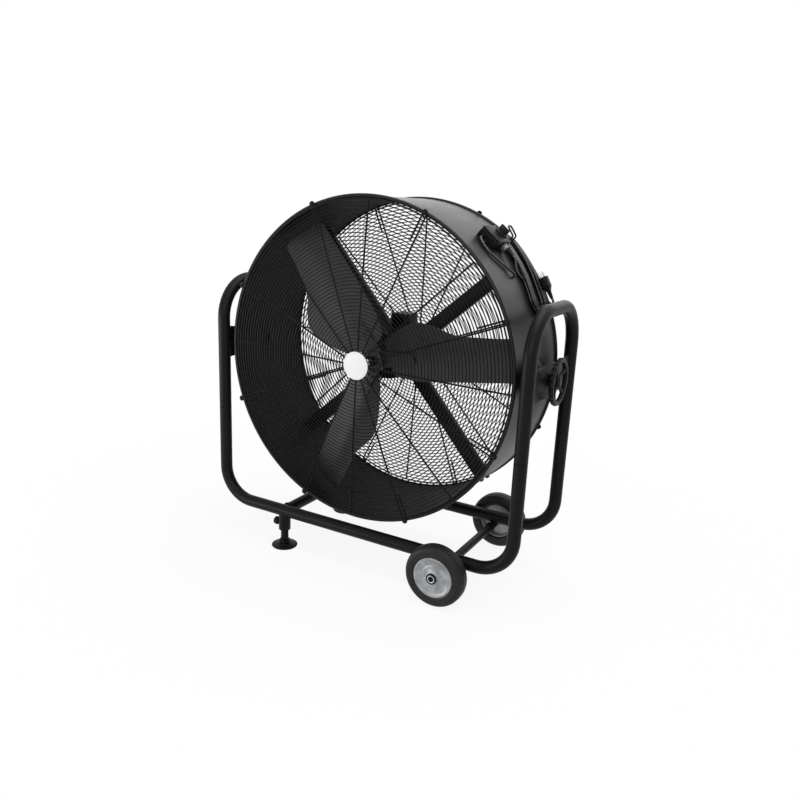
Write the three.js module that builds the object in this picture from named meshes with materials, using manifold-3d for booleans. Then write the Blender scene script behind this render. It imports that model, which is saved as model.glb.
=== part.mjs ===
// A tilting 36 inch drum fan: a black steel drum with wire grilles, a three-bladed rotor and its
// motor inside, hung by two side pivots in a bent-tube frame that stands on two wheels and two
// levelling feet. The mains lead is wound between two wire hooks on the drum.
// Millimetres, +Z up. The origin is on the floor, under the middle of the drum. The fan blows
// towards -Y, and +X is to the right of someone who looks at its front.

import * as THREE from 'three';
import { mergeVertices } from 'three/addons/utils/BufferGeometryUtils.js';
import Module from 'manifold-3d';

const wasm = await Module();
wasm.setup();

// ---------- driving dimensions ----------

const GAP = 0.3;                    // clearance between pieces that touch

// drum
const SHELL_RADIUS = 474;           // outside of the rolled sheet
const SHELL_WALL = 2;
const DRUM_DEPTH = 347;             // over both rolled rims
const REAR_RIM = DRUM_DEPTH / 2;
const BEAD_RADIUS = 6;              // rolled rim
const DRUM_SIDES = 52;

// grilles
const GRILLE_WIRE = 4;              // width of a ring or radial wire
const GRILLE_RINGS = 5;
const GRILLE_RADIALS = 16;
const GRILLE_DOME = 15;             // how far the middle stands in front of the edge
const GRILLE_HUB_RADIUS = 38;       // middle of the innermost ring
const GRILLE_TURN = -1.8;           // first radial wire, degrees up from +X
const EYELET_RADIUS = 8;
const BADGE_RADIUS = 41;
const BADGE_THICKNESS = 3;

// frame
const TUBE_RADIUS = 19;             // 38 mm tube
const LEG_CLEARANCE = 21;           // between the drum's sheet and the legs
const LEG_X = SHELL_RADIUS + LEG_CLEARANCE + TUBE_RADIUS;   // middle of the legs, left and right
const LEG_Y = 177;                  // middle of the legs, front and rear
const WHEEL_RADIUS = 91;
const AXLE_DROP = 31;               // from the middle of the bottom rails down to the wheels' axle
const RAIL_HEIGHT = WHEEL_RADIUS + AXLE_DROP;       // middle of the bottom rails
const DRUM_CLEARANCE = 48;          // from the middle of the bottom rails up to the drum
const AXIS_HEIGHT = RAIL_HEIGHT + DRUM_CLEARANCE + SHELL_RADIUS;    // fan axis and tilt axis
const BASE_BEND = 105;              // bend radius at the middle of the tube
const ARCH_BEND = 120;
const ARCH_RISE = 199;              // from the tilt axis to the middle of the arch at its top
const ARCH_TOP = AXIS_HEIGHT + ARCH_RISE;
const SPLICE_DROP = 192;            // from the tilt axis down to where the arch plugs into the base
const LEG_SPLICE_HEIGHT = AXIS_HEIGHT - SPLICE_DROP;
const SPIGOT_RADIUS = 16;
const SPIGOT_LENGTH = 40;
const TUBE_SIDES = 12;
const BEND_STEPS = 4;

// crossbar and levelling feet
const FOOT_X = -268;
const CROSSBAR_RADIUS = 18;
const SOCKET_RADIUS = 19;
const SOCKET_DROP = 64;             // these three count down from the middle of the bottom rails
const SOCKET_BOTTOM = RAIL_HEIGHT - SOCKET_DROP;
const STEM_RADIUS = 12.5;
const STEM_DROP = 10;
const STEM_TOP = RAIL_HEIGHT - STEM_DROP;
const STEM_TRAVEL_UP = 15;          // how far the foot can be pushed up into the rail
const PAD_RADIUS = 42;
const PAD_HEIGHT = 12;
const FOOT_KNOB_DROP = 42;
const FOOT_KNOB_HEIGHT = RAIL_HEIGHT - FOOT_KNOB_DROP;
const FOOT_KNOB_RADIUS = 13;
const FOOT_KNOB_LENGTH = 18;
const FOOT_KNOB_STUD = 4;

// wheels
const WHEEL_X = 313;
const WHEEL_Y = 233;                // middle of the tyre
const TYRE_WIDTH = 50;
const RIM_RADIUS = 56;
const RIM_WALL = 3;
const HUB_RADIUS = 16;
const HUB_LENGTH = 56;
const BUSH_WALL = 2;
const AXLE_RADIUS = 12.5;           // between the wheels
const SPINDLE_RADIUS = 8;           // inside the wheels
const AXLE_NUT_RADIUS = 13;
const AXLE_NUT_THICKNESS = 6;

// tilt pivots
const PIVOT_BOSS_RADIUS = 38;
const PIVOT_BOSS_STAND = 26;        // how far the boss stands out from the sheet
const PIVOT_BOSS_X = SHELL_RADIUS + PIVOT_BOSS_STAND;
const PIVOT_PLATE_THICKNESS = 5;
const PIVOT_PLATE_HEIGHT = 100;
const PIVOT_BOSS_INSIDE = 4;         // how far the boss stands inside the drum
const PIVOT_BOLT_RADIUS = 8;
const PIVOT_NUT_LENGTH = 16;
const FRICTION_DISC_RADIUS = 34;
const HANDWHEEL_RADIUS = 68;
const HANDWHEEL_RIM = 14;           // width of the rim, and its thickness
const HANDWHEEL_LOBES = 20;
const HANDWHEEL_LOBE_DEPTH = 3;
const HANDWHEEL_SPOKES = 5;
const HANDWHEEL_SPOKE_WIDTH = 11;
const HANDWHEEL_HUB_RADIUS = 17;
const HANDWHEEL_HUB_LENGTH = 30;

// motor
const MOTOR_RADIUS = 70;
const MOTOR_WALL = 4;
const MOTOR_FRONT = -32;
const MOTOR_REAR = 122;
const MOTOR_CAP_LENGTH = 18;
const STATOR_BORE = 40;
const STATOR_FRONT = 8;
const STATOR_REAR = 84;
const SHAFT_RADIUS = 9.5;
const BEARING_RADIUS = 21;
const BEARING_WIDTH = 12;
const MOUNT_Y = 80;                 // middle of the motor's band and of its four arms
const BAND_THICKNESS = 6;
const BAND_WIDTH = 40;
const ARM_WIDTH = 44;
const ARM_DEPTH = 22;
const ARM_WALL = 3;
const ARM_ANGLE = 41;               // first arm, degrees up from +X
const CAPACITOR_BOX = { width: 64, middle: 8, front: 30, rear: 104, top: 128 };

// rotor
const BLADE_COUNT = 3;
const BLADE_ANGLE = 8;              // middle of the first blade, degrees up from +X
const BLADE_ROOT = 62;
const TIP_CLEARANCE = 18;           // between the blade tips and the drum
const BLADE_TIP = SHELL_RADIUS - TIP_CLEARANCE;
const BLADE_Y = -93;
const BLADE_PITCH = 20;
const BLADE_SHEET = 3;
const BLADE_FOLD = 20;              // how deep the blade is folded along its middle
const BLADE_FOLD_WIDTH = 90;
const BLADE_LOW_ROOT = 50;          // width behind the middle, at the root and further out
const BLADE_LOW_FULL = 70;
const BLADE_HIGH_ROOT = 62;         // width ahead of the middle, at the root, at the bulge
const BLADE_HIGH_BULGE = 113;       // and at the tip
const BLADE_HIGH_TIP = 60;
const BLADE_BULGE_PLACE = 0.34;     // share of the blade's length at which it is widest
const BLADE_CORNER = 18;            // how far the tip's corners are drawn in
const SPIDER_HUB_RADIUS = 34;
const SPIDER_FRONT = -107;
const SPIDER_REAR = -71;
const SPIDER_ARM_LENGTH = 132;
const SPIDER_ARM_WIDTH = 52;
const SPIDER_SHEET = 5;
const SPIDER_SEAT = 1;              // between the arms and the blades' folded sheet
const SHAFT_FRONT = -129;

// control box, on the drum's upper right
const BOX_ANGLE = 50.5;             // degrees up from +X
const BOX_LENGTH = 66;              // along the drum's curve
const BOX_INSET = 107.5;            // from the drum's rear rim to the box
const BOX_REAR = REAR_RIM - BOX_INSET;
const BOX_DEPTH = 90;
const BOX_FRONT = BOX_REAR - BOX_DEPTH;
const BOX_HEIGHT = 24;
const COVER_THICKNESS = 4;
const SPEED_KNOB_INSET = 21;        // from the box's rear end to the middle of the knob
const SPEED_KNOB_Y = BOX_REAR - SPEED_KNOB_INSET;
const SPEED_KNOB_RADIUS = 20;
const SPEED_KNOB_HEIGHT = 22;
const GLAND_INSET = 36;             // from the box's rear end to the gland
const GLAND_Y = BOX_REAR - GLAND_INSET;
const GLAND_RISE = 12;              // above the sheet
const GLAND_NUT_RADIUS = 11;
const GLAND_NUT_LENGTH = 14;
const GLAND_TAPER = 26;

// mains lead and its hooks
const CORD_RADIUS = 3.5;
const CORD_SIDES = 8;
const HANK_ANGLE = 37;              // middle of the hank, degrees up from +X
const HANK_LOOPS = 5.25;
const HANK_PITCH = 8.4;             // from one loop to the next
const HANK_LAYER = 7.7;             // from one layer to the next
const HANK_CLEARANCE = 0.6;         // between the sheet and the lowest loops
const HANK_HALF_RUN = 88;
const UPPER_HOOK_INSET = 59.5;      // from the drum's rear rim to the middle of each hook
const LOWER_HOOK_INSET = 93.5;
const HANK_TOP = { y: REAR_RIM - UPPER_HOOK_INSET, radius: 21 };        // innermost loop, above
const HANK_BOTTOM = { y: REAR_RIM - LOWER_HOOK_INSET, radius: 30 };     // and below
const HANK_START = 0.75;            // where on its front run the hank begins, 0 to 1
const HANK_LOOPS_IN = 2;            // whole loops that spiral in before the one that turns back
const RUN_SHARE = 1 / 6;            // part of a loop's steps that each of its two runs takes
const LOOP_STEPS = 24;
const LOOP_SIDES = 6;
const HOOK_WIRE = 2.5;
const HOOK_WIDTH = 24;
const HOOK_STAND = 32;              // above the sheet, where the wire bends over
const HOOK_REACH = 30;              // along the drum's curve
const PLUG_ANGLE = 29.8;
const PLUG_INSET = 47.5;            // from the drum's rear rim to the plug
const PLUG_Y = REAR_RIM - PLUG_INSET;
const PLUG_BODY = { length: 42, width: 32, height: 26 };
const PLUG_RELIEF = 24;
const PLUG_PIN_LENGTH = 18;
// Free points of the cables. run is the distance down the drum's curve and height the distance from
// the sheet. The mains lead's y counts from the gland, and its end's run from the hank's lower end.
const LEAD_POINTS = [{ run: -7, y: -3, height: 7 }, { run: 14, y: -0.5, height: 4.5 }];
const TAIL_POINT = { run: 37, y: -4, height: 20 };          // its y counts from the plug
// The motor's cable counts both from the middle of the box's front end.
const LEAD_RADIUS = 3.5;
const LEAD_START = { run: 12, height: 9, straight: 9 };
const MOTOR_LEAD_POINTS = [
  { run: -5, y: -32, height: 8 }, { run: 19, y: -44, height: 5 }, { run: 49, y: -42, height: 5 },
  { run: 77, y: -24, height: 5 }, { run: 101, y: -2, height: 6 }, { run: 117, y: 8, height: 9 },
  { run: 125, y: 12, height: 6 }, { run: 126.5, y: 12.5, height: 1 },
];

// ---------- materials ----------

const material = (color, roughness, metalness) =>
  new THREE.MeshStandardMaterial({ color, roughness, metalness });
const blackPaint = material(0x1b1b1d, 0.45, 0.3);
const blackSheet = material(0x2a2a2d, 0.4, 0.4);
const blackWire = material(0x161617, 0.4, 0.3);
const bladePaint = material(0x232325, 0.4, 0.4);
const greySteel = material(0x8d8f92, 0.4, 0.7);
const brightZinc = material(0xb9bcc0, 0.3, 0.9);
const tyreRubber = material(0x17171a, 0.8, 0);
const blackPlastic = material(0x151517, 0.6, 0);
const whiteNylon = material(0xd9d8d2, 0.6, 0);
const badgeWhite = material(0xe9e9e6, 0.4, 0);
const copperWinding = material(0x9b5a2c, 0.5, 0.6);
const cordPvc = material(0x1a1a1b, 0.5, 0);

// ---------- geometry helpers ----------

const rad = THREE.MathUtils.degToRad;

// Merges shared vertices, drops empty triangles and turns the faces outwards.
function closed(geometry) {
  const bare = new THREE.BufferGeometry();
  bare.setAttribute('position', geometry.getAttribute('position').clone());
  bare.setIndex(geometry.index ? geometry.index.clone() : null);
  const merged = mergeVertices(bare, 1e-3);
  const source = merged.index.array;
  const kept = [];
  for (let i = 0; i < source.length; i += 3) {
    const [a, b, c] = [source[i], source[i + 1], source[i + 2]];
    if (a !== b && b !== c && c !== a) kept.push(a, b, c);
  }
  if (signedVolume(merged.getAttribute('position'), kept) < 0) {
    for (let i = 0; i < kept.length; i += 3) [kept[i], kept[i + 1]] = [kept[i + 1], kept[i]];
  }
  merged.setIndex(kept);
  return merged;
}

function signedVolume(position, index) {
  const corner = i => new THREE.Vector3().fromBufferAttribute(position, index[i]);
  let volume = 0;
  for (let i = 0; i < index.length; i += 3) {
    volume += corner(i).dot(corner(i + 1).cross(corner(i + 2))) / 6;
  }
  return volume;
}

function toManifold(geometry) {
  const clean = closed(geometry);
  return new wasm.Manifold(new wasm.Mesh({
    numProp: 3,
    vertProperties: new Float32Array(clean.getAttribute('position').array),
    triVerts: new Uint32Array(clean.index.array),
  }));
}

function fromManifold(solid) {
  const mesh = solid.getMesh();
  const geometry = new THREE.BufferGeometry();
  geometry.setAttribute('position', new THREE.BufferAttribute(new Float32Array(mesh.vertProperties), 3));
  geometry.setIndex(new THREE.BufferAttribute(new Uint32Array(mesh.triVerts), 1));
  return geometry;
}

const join = (...pieces) => fromManifold(pieces.map(toManifold).reduce((sum, piece) => sum.add(piece)));

const cut = (body, ...tools) =>
  fromManifold(tools.map(toManifold).reduce((rest, tool) => rest.subtract(tool), toManifold(body)));

// A cylinder along Y, X or Z between two places on that axis.
function rodY(radius, from, to, sides = 16) {
  return new THREE.CylinderGeometry(radius, radius, to - from, sides).translate(0, (from + to) / 2, 0);
}

const rodX = (radius, from, to, sides) => rodY(radius, from, to, sides).rotateZ(-Math.PI / 2);
const rodZ = (radius, from, to, sides) => rodY(radius, from, to, sides).rotateX(Math.PI / 2);

function block(width, depth, height, x, y, z) {
  return new THREE.BoxGeometry(width, depth, height).translate(x, y, z);
}

// A body of revolution about Y, from [radius, place] pairs.
function turned(profile, sides = 24) {
  return new THREE.LatheGeometry(profile.map(([radius, place]) => new THREE.Vector2(radius, place)), sides);
}

const ring = (inner, outer, from, to, sides) =>
  turned([[inner, from], [outer, from], [outer, to], [inner, to], [inner, from]], sides);

const aboutX = geometry => geometry.rotateZ(-Math.PI / 2);
const aboutZ = geometry => geometry.rotateX(Math.PI / 2);

function polygon(radius, sides) {
  const points = [];
  for (let i = 0; i < sides; i += 1) {
    const angle = 2 * Math.PI * i / sides;
    points.push(new THREE.Vector2(radius * Math.cos(angle), radius * Math.sin(angle)));
  }
  return new THREE.Shape(points);
}

// Straight runs joined by round bends. Its stations lie only at the ends of the runs and round the
// bends, so a straight run costs one step.
class BentRoute extends THREE.Curve {
  constructor(corners, bend, steps) {
    super();
    this.stations = [];
    const last = corners.length - 1;
    this.add(corners[0], corners[1].clone().sub(corners[0]));
    for (let i = 1; i < last; i += 1) this.addBend(corners[i - 1], corners[i], corners[i + 1], bend, steps);
    this.add(corners[last], corners[last].clone().sub(corners[last - 1]));
  }

  add(point, direction) {
    this.stations.push({ point: point.clone(), direction: direction.clone().normalize() });
  }

  addBend(before, corner, after, bend, steps) {
    const into = corner.clone().sub(before).normalize();
    const out = after.clone().sub(corner).normalize();
    const turn = into.angleTo(out);
    const inward = out.clone().addScaledVector(into, -out.dot(into)).normalize();
    const start = corner.clone().addScaledVector(into, -bend * Math.tan(turn / 2));
    for (let k = 0; k <= steps; k += 1) {
      const angle = turn * k / steps;
      const point = start.clone()
        .addScaledVector(into, bend * Math.sin(angle))
        .addScaledVector(inward, bend * (1 - Math.cos(angle)));
      const direction = into.clone().multiplyScalar(Math.cos(angle))
        .addScaledVector(inward, Math.sin(angle));
      this.add(point, direction);
    }
  }

  station(t) {
    return this.stations[Math.round(t * (this.stations.length - 1))];
  }

  getPointAt(t) {
    return this.station(t).point.clone();
  }

  getTangentAt(t) {
    return this.station(t).direction.clone();
  }
}

function bentTube(corners, radius, bend, sides, steps = BEND_STEPS) {
  const route = new BentRoute(corners, bend, steps);
  return new THREE.ExtrudeGeometry(polygon(radius, sides), {
    steps: route.stations.length - 1,
    extrudePath: route,
  });
}

// A closed tube through given points, its section kept level with a given outward direction.
function woundTube(points, outward, radius, sides) {
  const position = [];
  const index = [];
  points.forEach((point, i) => {
    const ahead = points[Math.min(i + 1, points.length - 1)];
    const behind = points[Math.max(i - 1, 0)];
    const tangent = ahead.clone().sub(behind).normalize();
    const side = new THREE.Vector3().crossVectors(tangent, outward(point)).normalize();
    const up = new THREE.Vector3().crossVectors(side, tangent);
    for (let k = 0; k < sides; k += 1) {
      const angle = 2 * Math.PI * k / sides;
      const corner = point.clone()
        .addScaledVector(side, radius * Math.cos(angle))
        .addScaledVector(up, radius * Math.sin(angle));
      position.push(corner.x, corner.y, corner.z);
    }
  });
  const last = (points.length - 1) * sides;
  for (let k = 0; k < sides; k += 1) {
    const next = (k + 1) % sides;
    for (let base = 0; base < last; base += sides) {
      index.push(base + k, base + next, base + sides + next);
      index.push(base + k, base + sides + next, base + sides + k);
    }
  }
  for (let k = 1; k < sides - 1; k += 1) {
    index.push(0, k + 1, k);
    index.push(last, last + k, last + k + 1);
  }
  const geometry = new THREE.BufferGeometry();
  geometry.setAttribute('position', new THREE.Float32BufferAttribute(position, 3));
  geometry.setIndex(index);
  return geometry;
}

function addPiece(group, name, geometry, look) {
  const mesh = new THREE.Mesh(closed(geometry), look);
  mesh.name = name;
  group.add(mesh);
  return mesh;
}

const sides = [{ name: 'front', sign: -1 }, { name: 'rear', sign: 1 }];

// ---------- frame ----------

const railTool = sign => rodX(TUBE_RADIUS + GAP, -LEG_X, LEG_X, 28).translate(0, sign * LEG_Y, RAIL_HEIGHT);

function baseTube(sign) {
  const y = sign * LEG_Y;
  const tube = bentTube([
    new THREE.Vector3(-LEG_X, y, LEG_SPLICE_HEIGHT),
    new THREE.Vector3(-LEG_X, y, RAIL_HEIGHT),
    new THREE.Vector3(LEG_X, y, RAIL_HEIGHT),
    new THREE.Vector3(LEG_X, y, LEG_SPLICE_HEIGHT),
  ], TUBE_RADIUS, BASE_BEND, TUBE_SIDES);
  const socketTool = x => rodZ(
    SPIGOT_RADIUS + GAP, LEG_SPLICE_HEIGHT - SPIGOT_LENGTH - GAP, LEG_SPLICE_HEIGHT + TUBE_RADIUS,
  ).translate(x, y, 0);
  const stemTool = rodZ(STEM_RADIUS + GAP, RAIL_HEIGHT - 2 * TUBE_RADIUS, STEM_TOP + STEM_TRAVEL_UP + GAP)
    .translate(FOOT_X, y, 0);
  return cut(tube, socketTool(-LEG_X), socketTool(LEG_X), stemTool);
}

function archTube(sign) {
  const x = sign * LEG_X;
  const foot = LEG_SPLICE_HEIGHT + GAP;
  const tube = bentTube([
    new THREE.Vector3(x, -LEG_Y, foot),
    new THREE.Vector3(x, -LEG_Y, ARCH_TOP),
    new THREE.Vector3(x, LEG_Y, ARCH_TOP),
    new THREE.Vector3(x, LEG_Y, foot),
  ], TUBE_RADIUS, ARCH_BEND, TUBE_SIDES);
  const spigot = y => rodZ(
    SPIGOT_RADIUS, LEG_SPLICE_HEIGHT - SPIGOT_LENGTH, foot + TUBE_RADIUS,
  ).translate(x, y, 0);
  return join(tube, spigot(-LEG_Y), spigot(LEG_Y));
}

// The crossbar is notched where the rails and the foot sockets are welded to it.
function footCrossbar() {
  const bar = rodY(CROSSBAR_RADIUS, -LEG_Y, LEG_Y).translate(FOOT_X, 0, RAIL_HEIGHT);
  const socketTool = sign => rodZ(SOCKET_RADIUS + GAP, SOCKET_BOTTOM, RAIL_HEIGHT + GAP, 32)
    .translate(FOOT_X, sign * LEG_Y, 0);
  return cut(bar, railTool(-1), railTool(1), socketTool(-1), socketTool(1));
}

// The axle is notched where the rails are welded into it.
function wheelAxle() {
  const shoulder = WHEEL_Y - HUB_LENGTH / 2 - GAP;
  const end = WHEEL_Y + HUB_LENGTH / 2 + GAP + AXLE_NUT_THICKNESS;
  const axle = turned([
    [0, -end], [SPINDLE_RADIUS, -end], [SPINDLE_RADIUS, -shoulder], [AXLE_RADIUS, -shoulder],
    [AXLE_RADIUS, shoulder], [SPINDLE_RADIUS, shoulder], [SPINDLE_RADIUS, end], [0, end],
  ], 16).translate(WHEEL_X, 0, WHEEL_RADIUS);
  return cut(axle, railTool(-1), railTool(1));
}

function footSocket(sign) {
  const socket = rodZ(SOCKET_RADIUS, SOCKET_BOTTOM, RAIL_HEIGHT).translate(FOOT_X, sign * LEG_Y, 0);
  const bore = rodZ(STEM_RADIUS + GAP, SOCKET_BOTTOM - GAP, RAIL_HEIGHT + GAP)
    .translate(FOOT_X, sign * LEG_Y, 0);
  const thread = rodX(FOOT_KNOB_STUD + GAP, FOOT_X - 2 * SOCKET_RADIUS, FOOT_X, 16)
    .translate(0, sign * LEG_Y, FOOT_KNOB_HEIGHT);
  return cut(socket, railTool(sign), bore, thread);
}

function footStem() {
  return rodZ(STEM_RADIUS, PAD_HEIGHT + GAP, STEM_TOP);
}

function footPad() {
  return aboutZ(turned([
    [0, 0], [PAD_RADIUS - 2, 0], [PAD_RADIUS, 3], [PAD_RADIUS - 2, 7], [STEM_RADIUS + 8, PAD_HEIGHT],
    [0, PAD_HEIGHT],
  ]));
}

function footKnob() {
  const seat = SOCKET_RADIUS + 1;
  const grip = seat + FOOT_KNOB_LENGTH;
  return aboutX(turned([
    [0, -grip], [FOOT_KNOB_RADIUS - 2, -grip], [FOOT_KNOB_RADIUS, 2 - grip], [FOOT_KNOB_RADIUS, -seat - 5],
    [FOOT_KNOB_RADIUS / 2, -seat], [FOOT_KNOB_STUD, -seat], [FOOT_KNOB_STUD, -STEM_RADIUS - GAP],
    [0, -STEM_RADIUS - GAP],
  ], 16));
}

// A flat web between an arch's legs, with the pivot hole in its middle.
function pivotPlate() {
  const halfWidth = LEG_Y - TUBE_RADIUS - GAP;
  const halfHeight = PIVOT_PLATE_HEIGHT / 2;
  const waist = halfHeight - 8;
  const outline = new THREE.Shape();
  outline.moveTo(-halfWidth, -halfHeight);
  outline.quadraticCurveTo(-halfWidth / 2, -waist, 0, -halfHeight);
  outline.quadraticCurveTo(halfWidth / 2, -waist, halfWidth, -halfHeight);
  outline.lineTo(halfWidth, halfHeight);
  outline.quadraticCurveTo(halfWidth / 2, waist, 0, halfHeight);
  outline.quadraticCurveTo(-halfWidth / 2, waist, -halfWidth, halfHeight);
  outline.closePath();
  const hole = new THREE.Path();
  hole.absarc(0, 0, PIVOT_BOLT_RADIUS + GAP, 0, 2 * Math.PI, true);
  outline.holes.push(hole);
  const plate = { depth: PIVOT_PLATE_THICKNESS, bevelEnabled: false, curveSegments: 6 };
  return new THREE.ExtrudeGeometry(outline, plate)
    .translate(0, 0, -PIVOT_PLATE_THICKNESS / 2)
    .rotateX(Math.PI / 2)
    .rotateZ(Math.PI / 2);
}

function buildFrame(part) {
  const frame = new THREE.Group();
  part.add(frame);
  for (const { name, sign } of sides) {
    addPiece(frame, `${name}_base_tube`, baseTube(sign), blackPaint);
    addPiece(frame, `${name}_foot_socket`, footSocket(sign), blackPaint);
    addPiece(frame, `${name}_foot_stem`, footStem(), greySteel).position.set(FOOT_X, sign * LEG_Y, 0);
    addPiece(frame, `${name}_foot_pad`, footPad(), blackPlastic).position.set(FOOT_X, sign * LEG_Y, 0);
    addPiece(frame, `${name}_foot_knob`, footKnob(), blackPlastic)
      .position.set(FOOT_X, sign * LEG_Y, FOOT_KNOB_HEIGHT);
  }
  addPiece(frame, 'left_arch_tube', archTube(-1), blackPaint);
  addPiece(frame, 'right_arch_tube', archTube(1), blackPaint);
  addPiece(frame, 'foot_crossbar', footCrossbar(), blackPaint);
  addPiece(frame, 'wheel_axle', wheelAxle(), blackPaint);
  addPiece(frame, 'left_pivot_plate', pivotPlate(), blackPaint).position.set(-LEG_X, 0, AXIS_HEIGHT);
  addPiece(frame, 'right_pivot_plate', pivotPlate(), blackPaint).position.set(LEG_X, 0, AXIS_HEIGHT);
}

// ---------- wheels ----------

function tyre() {
  const half = TYRE_WIDTH / 2;
  const seat = half - 7;
  const shoulder = WHEEL_RADIUS - 8;
  return turned([
    [RIM_RADIUS, -seat], [RIM_RADIUS + 6, -half + 2], [shoulder - 10, -half], [shoulder, -half + 2],
    [WHEEL_RADIUS - 2, -half + 8], [WHEEL_RADIUS, 0], [WHEEL_RADIUS - 2, half - 8], [shoulder, half - 2],
    [shoulder - 10, half], [RIM_RADIUS + 6, half - 2], [RIM_RADIUS, seat], [RIM_RADIUS, -seat],
  ]);
}

// Built with its dished web towards +Y, which is turned outwards.
function rim() {
  const outer = RIM_RADIUS - GAP;
  const inner = outer - RIM_WALL;
  const half = TYRE_WIDTH / 2 - 7;
  const bore = SPINDLE_RADIUS + GAP + BUSH_WALL + GAP;
  const boss = HUB_LENGTH / 2 - 6;
  return turned([
    [bore, -HUB_LENGTH / 2], [HUB_RADIUS, -HUB_LENGTH / 2], [HUB_RADIUS, half - 13], [inner, half - 13],
    [inner, -half], [outer, -half], [outer, half], [inner, half], [inner - 12, half - 9],
    [HUB_RADIUS + 6, half - 9], [HUB_RADIUS, boss], [bore, boss], [bore, -HUB_LENGTH / 2],
  ]);
}

function bush() {
  const bore = SPINDLE_RADIUS + GAP;
  return ring(bore, bore + BUSH_WALL, -HUB_LENGTH / 2, HUB_LENGTH / 2, 16);
}

function axleNut() {
  const bore = rodY(SPINDLE_RADIUS + GAP, -AXLE_NUT_THICKNESS, AXLE_NUT_THICKNESS);
  return cut(rodY(AXLE_NUT_RADIUS, -AXLE_NUT_THICKNESS / 2, AXLE_NUT_THICKNESS / 2, 6), bore);
}

function buildWheels(part) {
  for (const { name, sign } of sides) {
    const wheel = new THREE.Group();
    wheel.position.set(WHEEL_X, sign * WHEEL_Y, WHEEL_RADIUS);
    if (sign < 0) wheel.rotation.z = Math.PI;
    part.add(wheel);
    addPiece(wheel, `${name}_tyre`, tyre(), tyreRubber);
    addPiece(wheel, `${name}_rim`, rim(), greySteel);
    addPiece(wheel, `${name}_bush`, bush(), whiteNylon);
    addPiece(wheel, `${name}_axle_nut`, axleNut(), brightZinc)
      .position.y = HUB_LENGTH / 2 + GAP + AXLE_NUT_THICKNESS / 2;
  }
}

// ---------- drum, in a group whose origin is the middle of the drum ----------

function drumShell() {
  const half = DRUM_DEPTH / 2 - BEAD_RADIUS;
  const inner = SHELL_RADIUS - SHELL_WALL;
  const wallAngle = Math.asin(SHELL_WALL / BEAD_RADIUS);
  const steps = 4;
  const profile = [];
  for (let k = 0; k <= steps; k += 1) {
    const angle = (2 * Math.PI - wallAngle) * k / steps;
    profile.push([SHELL_RADIUS + BEAD_RADIUS * Math.sin(angle), -half + BEAD_RADIUS * Math.cos(angle)]);
  }
  const rear = profile.map(([radius, place]) => [radius, -place]).reverse();
  const sheet = turned([...profile, ...rear, profile[0]], DRUM_SIDES);
  const boss = sign => rodX(PIVOT_BOSS_RADIUS, inner - PIVOT_BOSS_INSIDE, PIVOT_BOSS_X, 24)
    .scale(sign, 1, 1);
  const hole = rodX(PIVOT_BOLT_RADIUS + GAP, -PIVOT_BOSS_X - 1, PIVOT_BOSS_X + 1);
  return cut(join(sheet, boss(1), boss(-1)), hole);
}

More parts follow.
